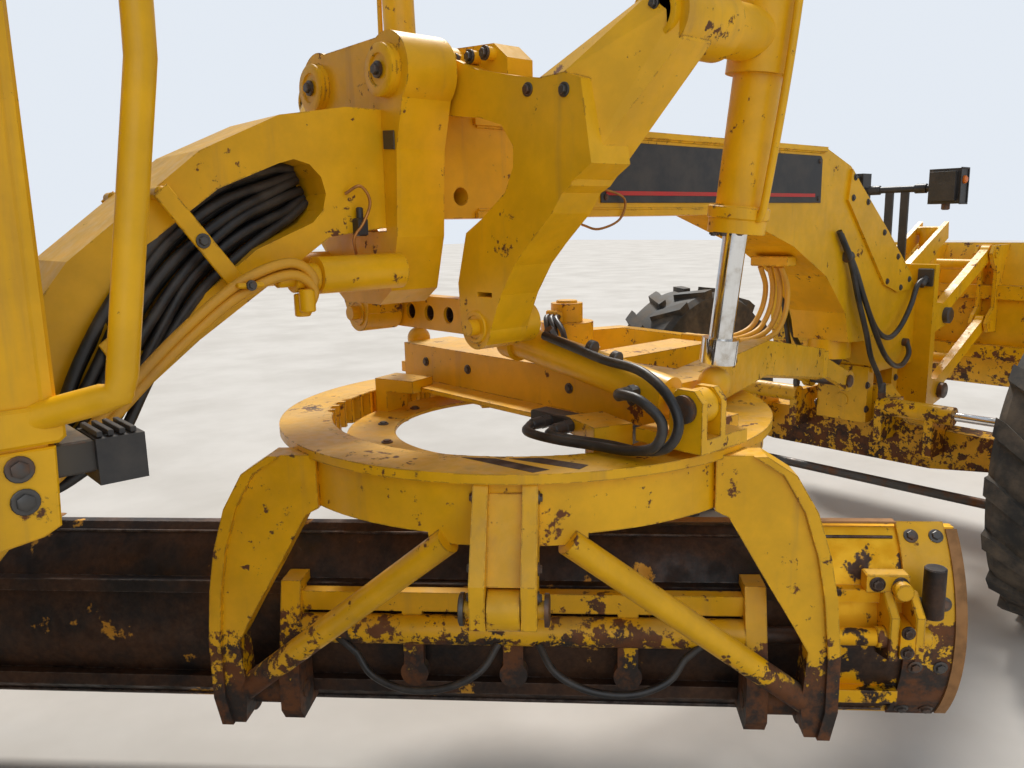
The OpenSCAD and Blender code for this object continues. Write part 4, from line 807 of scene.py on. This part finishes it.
# cover plate that closes the circle over its teeth; its inner edge is cut back over a few degrees, where
# the link bar dips beside it with the circle fully raised
circleCover = {"inner": 628, "outer": 740, "low": 1168, "high": 1174.7, "notch": (90, 9, 650)}


def coverRing(c):
    points, faces = flatRing((0, 0, 0), c["inner"], c["outer"], c["low"], c["high"], 180)
    radius = np.hypot(points[:, 0], points[:, 1])
    angle = np.degrees(np.arctan2(points[:, 1], points[:, 0]))
    middle, reach, cutBack = c["notch"]
    notch = (radius < c["inner"] + 12) & (np.abs(angle - middle) < reach)
    points[notch, :2] *= (cutBack / radius[notch])[:, None]
    return points, faces


addPiece("circle_cover", "circle", circleYellow, [coverRing(circleCover)], inBlade)
addPiece("drawbar_plate", "drawbar", circleYellow, [flatRing(circleCentre, 430, 588, 1098, 1110)])
wearStrips = [  # worn tracks across the cover
    [(-2844, -357), (-2806, -590), (-2760, -600), (-2789, -432)],
    [(-2765, -455), (-2706, -650), (-2664, -640), (-2703, -510)],
]
addPiece("wear_strips", "circle", wornSteel, [slab(outline, 1174, 1175.9, "xy", 0.4) for outline in wearStrips])
addPiece("circle_bolts", "circle", bareSteel, bolts(
    around(0, 0, 1148, 752, range(200, 280, 20)), (0, 0, -1), 10, 9
) + both(lambda s:
    bolts([(x, s * 80, z) for x, z in ((-768, 1110), (-850, 960), (-880, 900))], (0, s, 0), 11, 10)
    + [turned((-870, s * 96, 865), (0, s, 0), [(40, 0), (40, 10), (34, 13), (16, 13)], 24)]
), inBlade)
addPiece("drawbar_bolts", "drawbar", bareSteel,
    bolts(around(-2300, 0, 1110, 480, range(15, 375, 30)), (0, 0, 1), 12, 9)
    + bolts([(-2340, y, 1270) for y in (-500, -250, 250, 500)], (-1, 0, 0), 11, 10)
    + [turned((-2482, -790, 1310), (-1, 0, 0), [(36, -4), (36, 8), (30, 11), (14, 11)], 24)]
)

# circle drive: rings of its motor, radius and height, with its shaft and bolts
driveRings = [(126, 1206), (126, 1222), (118, 1226), (118, 1284), (126, 1288), (126, 1300), (90, 1304)]
addPiece("drive_dress", "drawbar", wornYellow, [
    turned((-1880, 220, 0), (0, 0, 1), driveRings, 36),
    rod((-1880, 220, 1450), (0, 0, 1), 40, 60),
    block(-1960, -1930, 190, 250, 1400, 1446),
] + bolts(around(-1880, 220, 1303, 108, range(0, 360, 45)), (0, 0, 1), 9, 8))
# hoses of the centre shift cylinder: along the barrel, round its eye and back to a block on the drawbar
shiftLoops = [
    [(-2488, -300, 1452), (-2494, -434, 1428), (-2498, -545, 1408), (-2508, -672, 1396), (-2520, -765, 1352),
     (-2530, -812, 1288), (-2540, -790, 1226), (-2545, -705, 1200), (-2545, -600, 1197), (-2580, -500, 1200),
     (-2604, -440, 1206), (-2576, -420, 1210)],
    [(-2556, -640, 1336), (-2572, -668, 1344), (-2572, -730, 1336), (-2560, -785, 1288), (-2566, -770, 1228),
     (-2568, -690, 1202), (-2580, -590, 1198), (-2612, -470, 1199), (-2622, -370, 1205), (-2576, -330, 1210)],
]
shiftHoses = addPiece("shift_hoses", None, blackHose, [hose(points, 13) for points in shiftLoops])
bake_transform(shiftHoses)
addPiece("shift_fittings", "shift_barrel", bareSteel,
    fitting((-2452, -300, 1443), (-0.62, 0, 0.78), 10)[:2]
    + fitting((-2486, -640, 1336), (-1, 0, 0), 12)
    + [rod((-2470, -470, 1432), (0, 1, 0.17), 20, 22), rod((-2474, -560, 1412), (0, 1, 0.17), 20, 22)]
)
addPiece("drawbar_manifold", "drawbar", blackPlastic,
    [block(-2500, -2436, -440, -250, 1187, 1230)]
    + fitting((-2500, -420, 1210), (-1, 0, 0), 12)
    + fitting((-2500, -330, 1210), (-1, 0, 0), 12)
)
addPiece("drive_hoses", "drawbar", blackHose, [
    hose([(-2118, 20 + 50 * k, 1262), (-2080, 20 + 50 * k, 1266), (-2040, 60 + 46 * k, 1310),
        (-2010, 110 + 40 * k, 1380), (-1985, 170 + 26 * k, 1418), (-1950, 196 + 22 * k, 1424)], 11)
    for k in range(3)
])
print("circle and drawbar dressed")

# ends of the moldboard: curved plates outside the rails, with a rolled rim, bolts and the side shift lug
boardArc = {"x": 59.5, "z": 545, "half": math.radians(47.6)}
boardEnds = {
    "plates": ((-1262, -1124), (2192, 2330)),
    "rims": ((-1294.5, -1262), (2330, 2362.5)),
    "bolts": (-1232, -1160, 2228, 2300),
    "angles": (-0.62, -0.18, 0.26, 0.70),
}


def onBoard(angle, y, radius):  # a point at this radius from the middle of the moldboard's curve
    return (boardArc["x"] - radius * math.cos(angle), y, boardArc["z"] + radius * math.sin(angle))


def curvedPlate(y0, y1, inner, outer, low, high, steps=24):
    sides = ((inner, y0), (outer, y0), (outer, y1), (inner, y1))
    angles = np.linspace(low, high, steps) * boardArc["half"]
    points = np.array([onBoard(angle, y, radius) for angle in angles for radius, y in sides])
    faces = ringFaces(steps, 4) + [[3, 2, 1, 0], list(range(4 * steps - 4, 4 * steps))]
    return points, [face[::-1] for face in faces]


addPiece("end_plates", "moldboard", circleYellow, [
    curvedPlate(y0, y1, 434.6, 447, -0.86, 0.97)
    for y0, y1 in boardEnds["plates"]
], inBlade)
addPiece("end_rims", "moldboard", tanSteel, [
    curvedPlate(y0, y1, 428, 453, -0.8, 0.9)
    for y0, y1 in boardEnds["rims"]
], inBlade)
addPiece("end_bolts", "moldboard", bareSteel, [
    piece
    for y in boardEnds["bolts"]
    for a in boardEnds["angles"]
    for piece in bolt(onBoard(a, y, 447), (-math.cos(a), 0, math.sin(a)), 14, 12)
], inBlade)
lugPlate = [(-470, 530), (-360, 500), (-350, 700), (-400, 712), (-470, 660)]
addPiece("shift_lug", "moldboard", circleYellow, [
    slab(lugPlate, -1075, -1047, "xz", 4),
    slab(lugPlate, -1145, -1117, "xz", 4),
    block(-402, -352, -1120, -1000, 704, 760),
    rod((-432, -1096, 585), (0, 1, 0), 30, 150),
    rod((-392, -1096, 720), (1, 0, 0), 26, 90),
], inBlade)
addPiece("lug_tube", "moldboard", wornSteel, (
    [rod((-425, -1178, 720), (0, 0, 1), 30, 150)]
    + bolts([(-402, -1095, 732), (-402, -1030, 732)], (-1, 0, 0), 15, 14)
    + bolts([(-476, -1096, 560), (-476, -1096, 620)], (-1, 0, 0), 13, 12)
), inBlade)
# bar along the moldboard's top edge, coloured pale tan as a painted highlight where light falls on the top edge
addPiece("top_edge_highlight_strip", "moldboard", tanSteel, [
    block(-268, -232, y0, y1, 864, 871)
    for y0, y1 in ((-1124, -420), (1490, 2192))
], inBlade)
# bolt heads of the cutting edge, in a row
edgeBolts = {"count": 24, "pitch": 152, "x": -196, "z": 249, "axis": (-0.72, 0, 0.69)}
edgeRow = (np.arange(edgeBolts["count"]) - (edgeBolts["count"] - 1) / 2) * edgeBolts["pitch"] + bladeShift
edgeSpots = [(edgeBolts["x"], y, edgeBolts["z"]) for y in edgeRow]
addPiece("edge_bolts", "moldboard", wornSteel, bolts(edgeSpots, edgeBolts["axis"], 14, 16), inBlade)
# ribs along the moldboard's back
boardRibs = {"angles": (0.70, -0.70), "y": (-1110, 0, 1100, 2180), "radius": 437, "thick": 5}
addPiece("board_ribs", "moldboard", wornSteel, [
    hose([onBoard(a, y, boardRibs["radius"]) for y in boardRibs["y"]], boardRibs["thick"], 8)
    for a in boardRibs["angles"]
], inBlade)
# hoses and links that hang on the blade carrier
carrierLoops = [
    [(-470, 60, 560), (-520, 110, 500), (-530, 210, 452), (-522, 330, 440), (-500, 430, 470), (-478, 480, 530)],
    [(-478, 480, 530), (-470, 520, 560), (-455, 560, 580)],
]
addPiece("carrier_hoses", "blade_carrier", blackHose, both(lambda s: [
    hose([(x, s * y, z) for x, y, z in loop], 11)
    for loop in carrierLoops
]), inBlade)
addPiece("carrier_pins", "circle", wornSteel, both(lambda s: [
    turned((-454, s * 884, 395), (0, s, 0), [(44, -4), (44, 8), (38, 11), (20, 11)], 24),
]), inBlade)
print("moldboard dressed")

# hoses of the front group, from under the neck's cover down to the axle and the lift group
frontRoutes = [
    [(-560, 158, 1705), (-470, 172, 1570), (-415, 190, 1400), (-350, 205, 1240), (-300, 210, 1120),
     (-215, 215, 1010), (-195, 225, 925)],
    [(-540, 158, 1690), (-450, 178, 1545), (-380, 205, 1390), (-300, 218, 1250), (-190, 222, 1120),
     (-60, 212, 1050), (60, 200, 1035), (150, 190, 1080), (190, 160, 1130)],
    [(-520, 158, 1668), (-425, 175, 1530), (-330, 190, 1360), (-230, 200, 1235), (-110, 205, 1190),
     (20, 200, 1235), (140, 190, 1330), (215, 182, 1420), (296, 190, 1452)],
]
addPiece("front_hoses", "front_frame", blackHose, both(lambda s: [
    hose([(x, s * y, z) for x, y, z in route], 13)
    for route in frontRoutes
]))
addPiece("front_fittings", "front_frame", bareSteel, both(lambda s:
    fitting((-195, s * 225, 908), (0, 0, 1), 12)
    + fitting((300, s * 190, 1455), (-0.8, 0, -0.5), 12)
    + [block(286, 303, *span(s, 150, 225), 1410, 1500), rod((-470, s * 160, 1590), (1, 0, 0), 26, 30)]
    + [rod((190, s * 152, 1130), (0, 1, 0), 20, 30)]
))
# sleeved hoses hang between the drawbar's pivot and the drawbar itself
neckHoses = addPiece("neck_hoses", None, yellowSleeve, [
    hose([
        (-820 - 16 * abs(k), 34 * k, 1560),
        (-792, 36 * k, 1470),
        (-806, 40 * k, 1370),
        (-880, 46 * k, 1290),
        (-1010, 54 * k, 1262),
        (-1150, 62 * k, 1268),
        (-1260, 66 * k, 1282),
    ], 12)
    for k in (-1.5, -0.5, 0.5, 1.5)
])
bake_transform(neckHoses)
addPiece("neck_manifold", "drawbar_ball", wornYellow, [block(-860, -790, -90, 90, 1562, 1606)])
addPiece("drawbar_clip", "drawbar", wornYellow, [
    block(-1296, -1256, -130, 130, 1250, 1302),
    block(-1290, -1262, -120, -90, 1190, 1254),
    block(-1290, -1262, 90, 120, 1190, 1254),
])
print("front hoses made")

# lamps: a finned housing with a lens, an orange marker on the neck's lamps, red ones on the bumper
addPiece("lamp_lenses", "front_frame", clearLens, both(lambda s:
    frameBars(s * 245 - 62, s * 245 + 62, 1832, 1978, 12, 380, 388, "yz")
    + [turned((380, s * 245, 1905), (1, 0, 0), [(52, 0), (50, 6), (36, 12), (16, 15)], 28)]
    + [turned((-3730, s * 685, 1438), (1, 0, 0), [(26, 0), (24, 6), (14, 10)], 24)]
))
addPiece("side_markers", "front_frame", amberLens, both(lambda s: [
    turned((335, s * 320, 1935), (0, s, 0), [(20, 0), (19, 8), (12, 14)], 20),
]))
addPiece("lamp_shells", "front_frame", blackPlastic, both(lambda s:
    [block(286 - 8 * k, 292 - 8 * k, *span(s, 184, 306), 1834, 1976, 1) for k in range(1, 4)]
    + [block(268, 292, *span(s, 190, 300), 1845, 1965, 2), rod((325, s * 120, 1900), (0, 1, 0), 24, 60)]
    + [block(-3796 + 16 * k, -3788 + 16 * k, *span(s, 636, 724), 1471, 1480, 1) for k in range(4)]
    + frameBars(286, 384, 1816, 1994, 8, *span(s, 320, 326), "xz")
))
print("lamps made")

# cab: corner blocks and bolts, thicker hand rails, seals, wipers, handles, mirrors and a roof gutter
addPiece("cab_corners", "front_frame", cabYellow, both(lambda s: [
    slab([(-4010, 1470), (-3851, 1470), (-3856, 1352), (-3880, 1340), (-4010, 1322)],
        *span(s, 700, 728), "xz", 3),
    slab([(-3938, 1474), (-3846, 1474), (-3836, 1482), (-3836, 1522), (-3846, 1530), (-3938, 1530)],
        *span(s, 640, 730), "xz", 5),
    slab([(-3866, 1530), (-3842, 1530), (-3842, 3146), (-3866, 3146)], *span(s, 668, 724), "xz", 6),
]))
addPiece("cab_bolts", "front_frame", bareSteel, both(lambda s: [
    piece
    for x, z in ((-3901, 1446), (-3899, 1398), (-3968, 1442), (-3966, 1380))
    for piece in bolt((x, s * 728, z), (0, s, 0), 13, 9)
]))
railPoints = [
    (-3880, 706, 1510), (-3842, 729, 1521), (-3795, 774, 1537), (-3777, 788, 1544), (-3770, 790, 1570),
    (-3745, 790, 1730), (-3707, 790, 1970), (-3702, 790, 2003), (-3700.5, 790, 2060), (-3697, 790, 2350),
    (-3691, 790, 2660), (-3691.5, 788, 2697), (-3712, 780, 2708), (-3790, 742, 2739), (-3880, 704, 2770),
]
addPiece("hand_rails", "front_frame", cabYellow, both(lambda s: [
    tube([(x, s * y, z) for x, y, z in railPoints], 22, 16),
]))
sealWidth = 26
addPiece("window_seals", "front_frame", blackPlastic,
    frameBars(-634, 634, 1806, 3074, sealWidth, -3866, -3852, "yz")
    + frameBars(-634, 634, 1526, 1764, sealWidth, -3866, -3852, "yz")
    + frameBars(-634, 634, 2026, 3074, sealWidth, -5126, -5114, "yz")
)
addPiece("wipers", "front_frame", blackPlastic, [
    hose([(-3846, 0, 1800), (-3838, 40, 2050), (-3838, 120, 2480)], 7),
    hose([(-3842, 60, 2180), (-3842, 170, 2760)], 6),
    rod((-3852, 0, 1796), (1, 0, 0), 20, 34),
    hose([(-5126, 0, 3090), (-5134, -60, 2800), (-5130, -150, 2420)], 6),
])
doorPanes = {"x": (-4870, -4080), "z": ((1650, 2050), (2120, 2991)), "play": 3.5, "seal": 20}
for name, s in (("left", 1), ("right", -1)):
    pane, seals = [], []
    (x0, x1), play = doorPanes["x"], doorPanes["play"]
    for z0, z1 in doorPanes["z"]:
        pane.append(slab(rect(x0 + play, x1 - play, z0 + play, z1 - play), *span(s, 692, 698), "xz", 1))
        seals += frameBars(x0, x1, z0 + 0.5, z1 - 0.5, doorPanes["seal"], *span(s, 686, 724), "xz")
    addPiece("door_pane_" + name, "cab_door_" + name, cabGlass, pane)
    addPiece("door_seals_" + name, "cab_door_" + name, blackPlastic, seals)
    addPiece("door_handle_" + name, "cab_door_" + name, blackPlastic, [
        tube([(-4030, s * y, z) for y, z in ((718, 1980), (750, 1990), (750, 2120), (718, 2130))], 9),
        block(-4050, -4014, *span(s, 718, 730), 1900, 1960),
    ])
addPiece("mirrors", "front_frame", blackPlastic, both(lambda s: [
    tube([(-3862, s * 690, 2960), (-3760, s * 800, 2960), (-3735, s * 880, 2940)], 11),
    tube([(-3862, s * 690, 2620), (-3760, s * 800, 2620), (-3735, s * 880, 2640)], 11),
    block(-3752, -3722, *span(s, 835, 1005), 2590, 2990, 10),
]))
addPiece("mirror_faces", "front_frame", mirrorGlass, both(lambda s: [
    block(-3756, -3751, *span(s, 848, 992), 2606, 2974, 1),
]))
addPiece("roof_dress", "front_frame", blackPlastic,
    [hose([(-5100, s * 742, 3172), (-4500, s * 744, 3172), (-3790, s * 742, 3172)], 9, 8) for s in (1, -1)]
    + [turned((-4800, 480, 3302), (0, 0, 1), [(60, -30), (60, 2), (30, 4)], 24)]
)
addPiece("roof_lamps", "front_frame", blackPlastic,
    [block(-3772, -3742, *sorted((s * y - 60, s * y + 60)), 3168, 3232, 8) for s in (1, -1) for y in (380, 620)]
    + [block(-5170, -5142, *sorted((s * 520 - 55, s * 520 + 55)), 3168, 3228, 8) for s in (1, -1)]
)
addPiece("roof_lenses", "front_frame", clearLens, [
    turned((-3742, s * y, 3200), (1, 0, 0), [(26, 0), (24, 5), (12, 8)], 24)
    for s in (1, -1) for y in (380, 620)
] + [turned((-5170, s * 520, 3198), (-1, 0, 0), [(24, 0), (22, 5), (12, 8)], 24) for s in (1, -1)])
print("cab dressed")


def squared(t, power):  # pushes a round towards a square, keeping its sign
    return np.sign(t) * np.abs(t) ** power


# cushion: a rounded box whose top swells towards its middle and whose sides pull in between the corners
def cushion(size, swell, sides=40, rings=22):
    u = np.linspace(0, 2 * np.pi, sides, endpoint=False)[None, :]
    v = np.linspace(-0.5 * np.pi, 0.5 * np.pi, rings)[1:-1, None]
    x = squared(np.cos(v), 0.22) * squared(np.cos(u), 0.3)
    y = squared(np.cos(v), 0.22) * squared(np.sin(u), 0.3)
    z = squared(np.sin(v), 0.4) * np.ones_like(u)
    middle = np.clip(1 - np.maximum(np.abs(x), np.abs(y)) ** 2, 0, 1)
    z = z * (1 + swell * middle) - 0.10 * np.cos(np.clip(y, -1, 1) * 7.5) * middle * (z > 0)
    x, y = x * (1 - 0.03 * (1 - y**2)), y * (1 - 0.03 * (1 - x**2))
    points = np.stack([x * size[0], y * size[1], z * size[2]], -1).reshape(-1, 3)
    count = rings - 2
    last = (count - 1) * sides
    return points, ringFaces(count, sides) + [list(range(sides))[::-1], list(range(last, last + sides))]


seat = {"middle": (-4700, 0, 1797), "size": (236, 234, 52), "swell": 0.12}
seatRest = {"middle": (-4915, 0, 2160), "size": (290, 214, 50), "lean": 1.46}
points, faces = cushion(seat["size"], seat["swell"])
seatCushion = addPiece("seat_cushion", "front_frame", seatCloth, [(points + seat["middle"], faces)])
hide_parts("seat")
points, faces = cushion(seatRest["size"], seat["swell"])
cosL, sinL = math.cos(seatRest["lean"]), math.sin(seatRest["lean"])
points = points @ np.array([[cosL, 0, sinL], [0, 1, 0], [-sinL, 0, cosL]]).T + seatRest["middle"]
seatBack = addPiece("seat_back", "front_frame", seatCloth, [(points, faces)])
addPiece("seat_frame", "front_frame", blackPlastic, [
    block(-4930, -4480, -220, 220, 1730.5, 1746),
    hose([(-4900, 0, 1745), (-4965, 0, 1900), (-4985, 0, 2200)], 26),
] + both(lambda s: [
    block(-4900, -4560, *span(s, 262, 306), 1980, 2012, 8),
    rod((-4890, s * 262, 1990), (0, 1, 0), 22, 80),
]) + both(lambda s: [
    tube([(-4560 + 22 * k, s * 285, 2010), (-4556 + 22 * k, s * 285, 2070)], 9)
    for k in range(3)
]))
print("seat made")

# hood, rear frame and tandems: latches, rails, caps, grille surround, lamps, steps and hub bolts
addPiece("hood_trim", "rear_frame", blackPlastic, both(lambda s: [
    tube([(-5520, s * 330, 2098), (-5520, s * 330, 2150), (-6900, s * 330, 2062), (-6900, s * 330, 2010)], 13),
    slab(rect(-7300, -5480, 1236, 1262), *span(s, 419, 425), "xz", 2),
]) + [
    turned((-6100, 150, 2066), (0, 0, 1), [(52, -10), (52, 26), (44, 34), (20, 36)], 24),
    turned((-6650, 0, 2036), (0, 0, 1), [(90, -20), (90, 70), (70, 96), (24, 104)], 32),
] + frameBars(-366, 366, 1274, 1846, 26, -7392, -7379, "yz"))
addPiece("rear_lamps", "rear_frame", redGlass, both(lambda s: [
    block(-7584, -7578, *span(s, 700, 860), 1030, 1120, 1),
    turned((-7584, s * 740, 1075), (-1, 0, 0), [(30, 0), (28, 6), (14, 9)], 24),
]))
addPiece("rear_markers", "rear_frame", amberLens, both(lambda s: [
    turned((-7584, s * 820, 1075), (-1, 0, 0), [(30, 0), (28, 6), (14, 9)], 24),
]))
addPiece("rear_steps", "rear_frame", chassisDark, both(lambda s: [
    tube([(-7540, s * 880, 1180), (-7540, s * 880, 1420), (-7400, s * 880, 1420), (-7400, s * 860, 1180)], 15),
    block(-7560, -7500, *span(s, 560, 880), 1180, 1192, 3),
]))
addPiece("exhaust_bands", "rear_frame", rustyFitting, [
    turned((-5900, -190, z), (0, 0, 1), [(86, 0), (92, 3), (92, 21), (86, 24)], 28)
    for z in (2240, 2560)
] + [
    turned((-5900, -190, z), (0, 0, 1), [(86, 0), (88, 2), (88, 6), (86, 8)], 28)
    for z in range(2300, 2540, 40)
])
for name, s in (("left", 1), ("right", -1)):
    addPiece("door_latches_" + name, "engine_door_" + name, blackPlastic, [
        block(x - 34, x + 34, *span(s, 418, 432), 1326, 1372, 4)
        for x in (-5620, -6330, -7040)
    ] + [
        tube([
            (x, s * y, z)
            for x, y, z in ((-6420, 418, 1420), (-6420, 452, 1424), (-6240, 452, 1424), (-6240, 418, 1420))
        ], 8),
    ] + frameBars(-6970, -5660, 1420, 1812, 12, *span(s, 418, 424), "xz"))
hub = {"z": 685, "face": 1082, "cap": 1150, "ring": 165, "bolts": 12}
hub["x"] = {"front": 0, "mid": -5159, "rear": -6681}
for axle, x in hub["x"].items():
    for name, s in (("left", 1), ("right", -1)):
        dress = [turned((x, s * hub["cap"], hub["z"]), (0, s, 0), [(84, -2), (84, 10), (70, 22), (24, 26)], 32)]
        for dx, dz, _ in around(0, 0, 0, hub["ring"], np.arange(hub["bolts"]) * 360 / hub["bolts"]):
            dress += bolt((x + dx, s * hub["face"], hub["z"] + dz), (0, s, 0), 13, 12)
        addPiece(f"hub_{axle}_{name}", f"wheel_{axle}_{name}", bareSteel, dress)
tandemBolts = [(x, z) for x in (-6480, -6280, -5920, -5560, -5360) for z in (498, 872)]
addPiece("tandem_bolts", "rear_frame", bareSteel, both(lambda s:
    bolts([(x, s * 790, z) for x, z in tandemBolts], (0, s, 0), 13, 11)
))
addPiece("dozer_bolts", "front_frame", bareSteel, [
    turned((470, s * 248, z), (0, s, 0), [(42, -22), (42, 4), (36, 8), (14, 8)], 24)
    for s in (1, -1) for z in (850, 1250)
])
addPiece("lift_glands", "front_frame", bareSteel, [
    turned((325, y, 1816), (0, 0, -1), [(20, -4), (20, 22), (12, 26)], 20)
    for y in (245, -245)
])
# lift cylinders: hose ports, steel tube along each barrel and a ring at the gland
lift = {
    "foot": (-2190, 790, 2210),
    "axis": np.array([-40, -90, -880]) / np.linalg.norm([40, 90, 880]),
    "out": (-0.25, 0.97, 0),
    # the tube's way along the barrel, and out from its middle
    "tube": [(-700, 62), (-690, 90), (-560, 92), (-120, 104), (120, 104), (380, 92), (440, 84), (446, 66)],
}
for name, s in (("left", 1), ("right", -1)):
    foot, axis, out = (np.array(lift[key]) * (1, s, 1) for key in ("foot", "axis", "out"))
    addPiece("lift_tube_" + name, "lift_barrel_" + name, frameYellow, [
        hose([foot + axis * t + out * r for t, r in lift["tube"]], 10),
        turned(foot + axis * 412, axis, [(74, 0), (79, 4), (79, 30), (74, 34)], 32),
        turned(foot - axis * 760, axis, [(61.5, 0), (66, 4), (66, 30), (61.5, 34)], 32),
    ])
    addPiece("lift_bolts_" + name, "lift_barrel_" + name, bareSteel,
        bolts(foot + axis * 480 + around(0, 0, 0, 58, range(0, 360, 45)), axis, 7, 7)
        + fitting(foot - axis * 715 + out * 56, out, 11)
    )
print("rear and wheels dressed")

# cab floor with its steps, ribbed mat, console, column and wheel, pedals and levers
cabFloor = {
    "steps": (-4236, -4010),
    "treads": (1130, 1275),
    "column": [(-4120, 0, 1670), (-4190, 0, 1890), (-4260, 0, 2110)],
    "wheel": 190,
    "lean": math.radians(-18),
}


def ringTube(centre, radius, thick, lean, sides=12, steps=48):
    t = np.linspace(0, 2 * np.pi, steps, endpoint=False)[:, None]
    a = np.linspace(0, 2 * np.pi, sides, endpoint=False)[None, :]
    x = (radius + thick * np.cos(a)) * np.cos(t)
    y = (radius + thick * np.cos(a)) * np.sin(t)
    z = thick * np.sin(a) * np.ones_like(t)
    x, z = x * math.cos(lean) + z * math.sin(lean), -x * math.sin(lean) + z * math.cos(lean)
    points = np.stack([x, y, z], -1).reshape(-1, 3) + np.array(centre, float)
    r, c = np.meshgrid(np.arange(steps), np.arange(sides), indexing="ij")
    here, side = r * sides + c, r * sides + (c + 1) % sides
    ahead, beside = (r + 1) % steps * sides + c, (r + 1) % steps * sides + (c + 1) % sides
    return points, np.stack([here, ahead, beside, side], -1).reshape(-1, 4).tolist()


steerTop = np.array(cabFloor["column"][-1])
floorParts = [
    block(-5120, -3865, -720, 720, 1420, 1470, 3),
    block(-4280, -4000, -180, 180, 1470, 1730, 14),
    tube(cabFloor["column"], [52, 46, 38], 20),
    ringTube(steerTop, cabFloor["wheel"], 15, cabFloor["lean"]),
    block(-4890, -4560, -180, 180, 1470, 1730, 10),
]
for s in (1, -1):
    floorParts.append(block(-3870, -3800, *span(s, 500, 720), 1420, 1469.7, 3))
    for x in cabFloor["steps"]:
        floorParts.append(block(x - 24, x, *span(s, 700, 850), 1130, 1421, 4))
    for z in cabFloor["treads"]:
        floorParts.append(block(-4258, -4010, *span(s, 700, 850), z, z + 24, 4))
        for x in range(-4252, -4012, 20):
            floorParts.append(block(x, x + 8, *span(s, 704, 846), z + 24, z + 29, 1))
for degrees in (-30, 90, 210):  # spokes of the wheel
    a, lean = math.radians(degrees), 0.314
    reach = np.array([math.cos(a) * math.cos(lean), math.sin(a), math.cos(a) * math.sin(lean)])
    floorParts.append(tube([steerTop, steerTop + cabFloor["wheel"] * reach], 9, 10))
floorPiece = addPiece("cab_floor_dressed", "front_frame", chassisDark, floorParts)
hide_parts("cab_floor")
levers = []
for s in (1, -1):
    for k in range(4):
        foot = np.array([-4180 + 34 * k, s * (130 + 12 * k), 1728])
        levers += [tube([foot, foot + [-50, s * 12, 190], foot + [-90, s * 14, 330]], 5, 8),
                   turned(foot + [-92, s * 14, 330], (-0.25, 0, 1), [(8, 0), (15, 12), (16, 26), (9, 38)], 16)]
levers += [block(-4020, -3990, y - 34, y + 34, 1504, 1620, 6) for y in (-260, 260, 350)]
addPiece("cab_levers", "front_frame", blackPlastic, levers)
ribs = [block(x, x + 8, -640, 640, 1470, 1475, 1) for x in range(-4990, -3890, 50)]
addPiece("cab_mat", "front_frame", blackPlastic, ribs)
print("cab floor made")


def addStage():
    floorSize = 60
    mesh = bpy.data.meshes.new("studioFloor")
    corners = np.array([(-1, -1, 0), (1, -1, 0), (1, 1, 0), (-1, 1, 0)], float) * floorSize
    mesh.from_pydata(corners.tolist(), [], [[0, 1, 2, 3]])
    material, tree, shader = newMaterial("paleFloor")
    shade = ramp(tree, noise(tree, 0.8, 5, 0.6), 0.3, 0.7)
    base = mixColour(tree, shade, (0.50, 0.47, 0.43, 1), (0.60, 0.57, 0.53, 1))
    fillSockets(tree, shader, {"Base Color": base, "Roughness": 0.9})
    mesh.materials.append(material)
    obj = bpy.data.objects.new("studioFloor", mesh)
    bpy.context.scene.collection.objects.link(obj)


def addSun(name, strength, spread, tint, turn):
    light = bpy.data.lights.new(name, "SUN")
    light.energy, light.angle, light.color = strength, math.radians(spread), tint
    obj = bpy.data.objects.new(name, light)
    obj.rotation_euler = [math.radians(angle) for angle in turn]
    bpy.context.scene.collection.objects.link(obj)


def addLights():
    addSun("softSun", 3.5, 12, (1.0, 0.97, 0.92), (38, -12, 150))
    addSun("sideFill", 0.7, 60, (0.9, 0.95, 1.0), (60, 0, -30))
    world = bpy.data.worlds.new("paleStudio")
    world.use_nodes = True
    tree = world.node_tree
    tree.nodes.clear()
    # brighter where the camera sees it, in mirrors and through glass than as a light
    rays = addNode(tree, "ShaderNodeLightPath").outputs
    seen = plus(tree, rays["Is Camera Ray"], rays["Is Glossy Ray"])
    seen = plus(tree, seen, rays["Is Transmission Ray"], True)
    strength = plus(tree, ramp(tree, seen, 0.0, 1.0, 0.42, 0.9), times(tree, rays["Is Glossy Ray"], -0.35))
    back = addNode(tree, "ShaderNodeBackground", {"Color": (0.86, 0.92, 1.0, 1), "Strength": strength})
    out = addNode(tree, "ShaderNodeOutputWorld")
    tree.links.new(back.outputs[0], out.inputs[0])
    bpy.context.scene.world = world


addStage()
addLights()
bpy.context.scene.view_settings.view_transform = "Standard"
print("stage and light set")
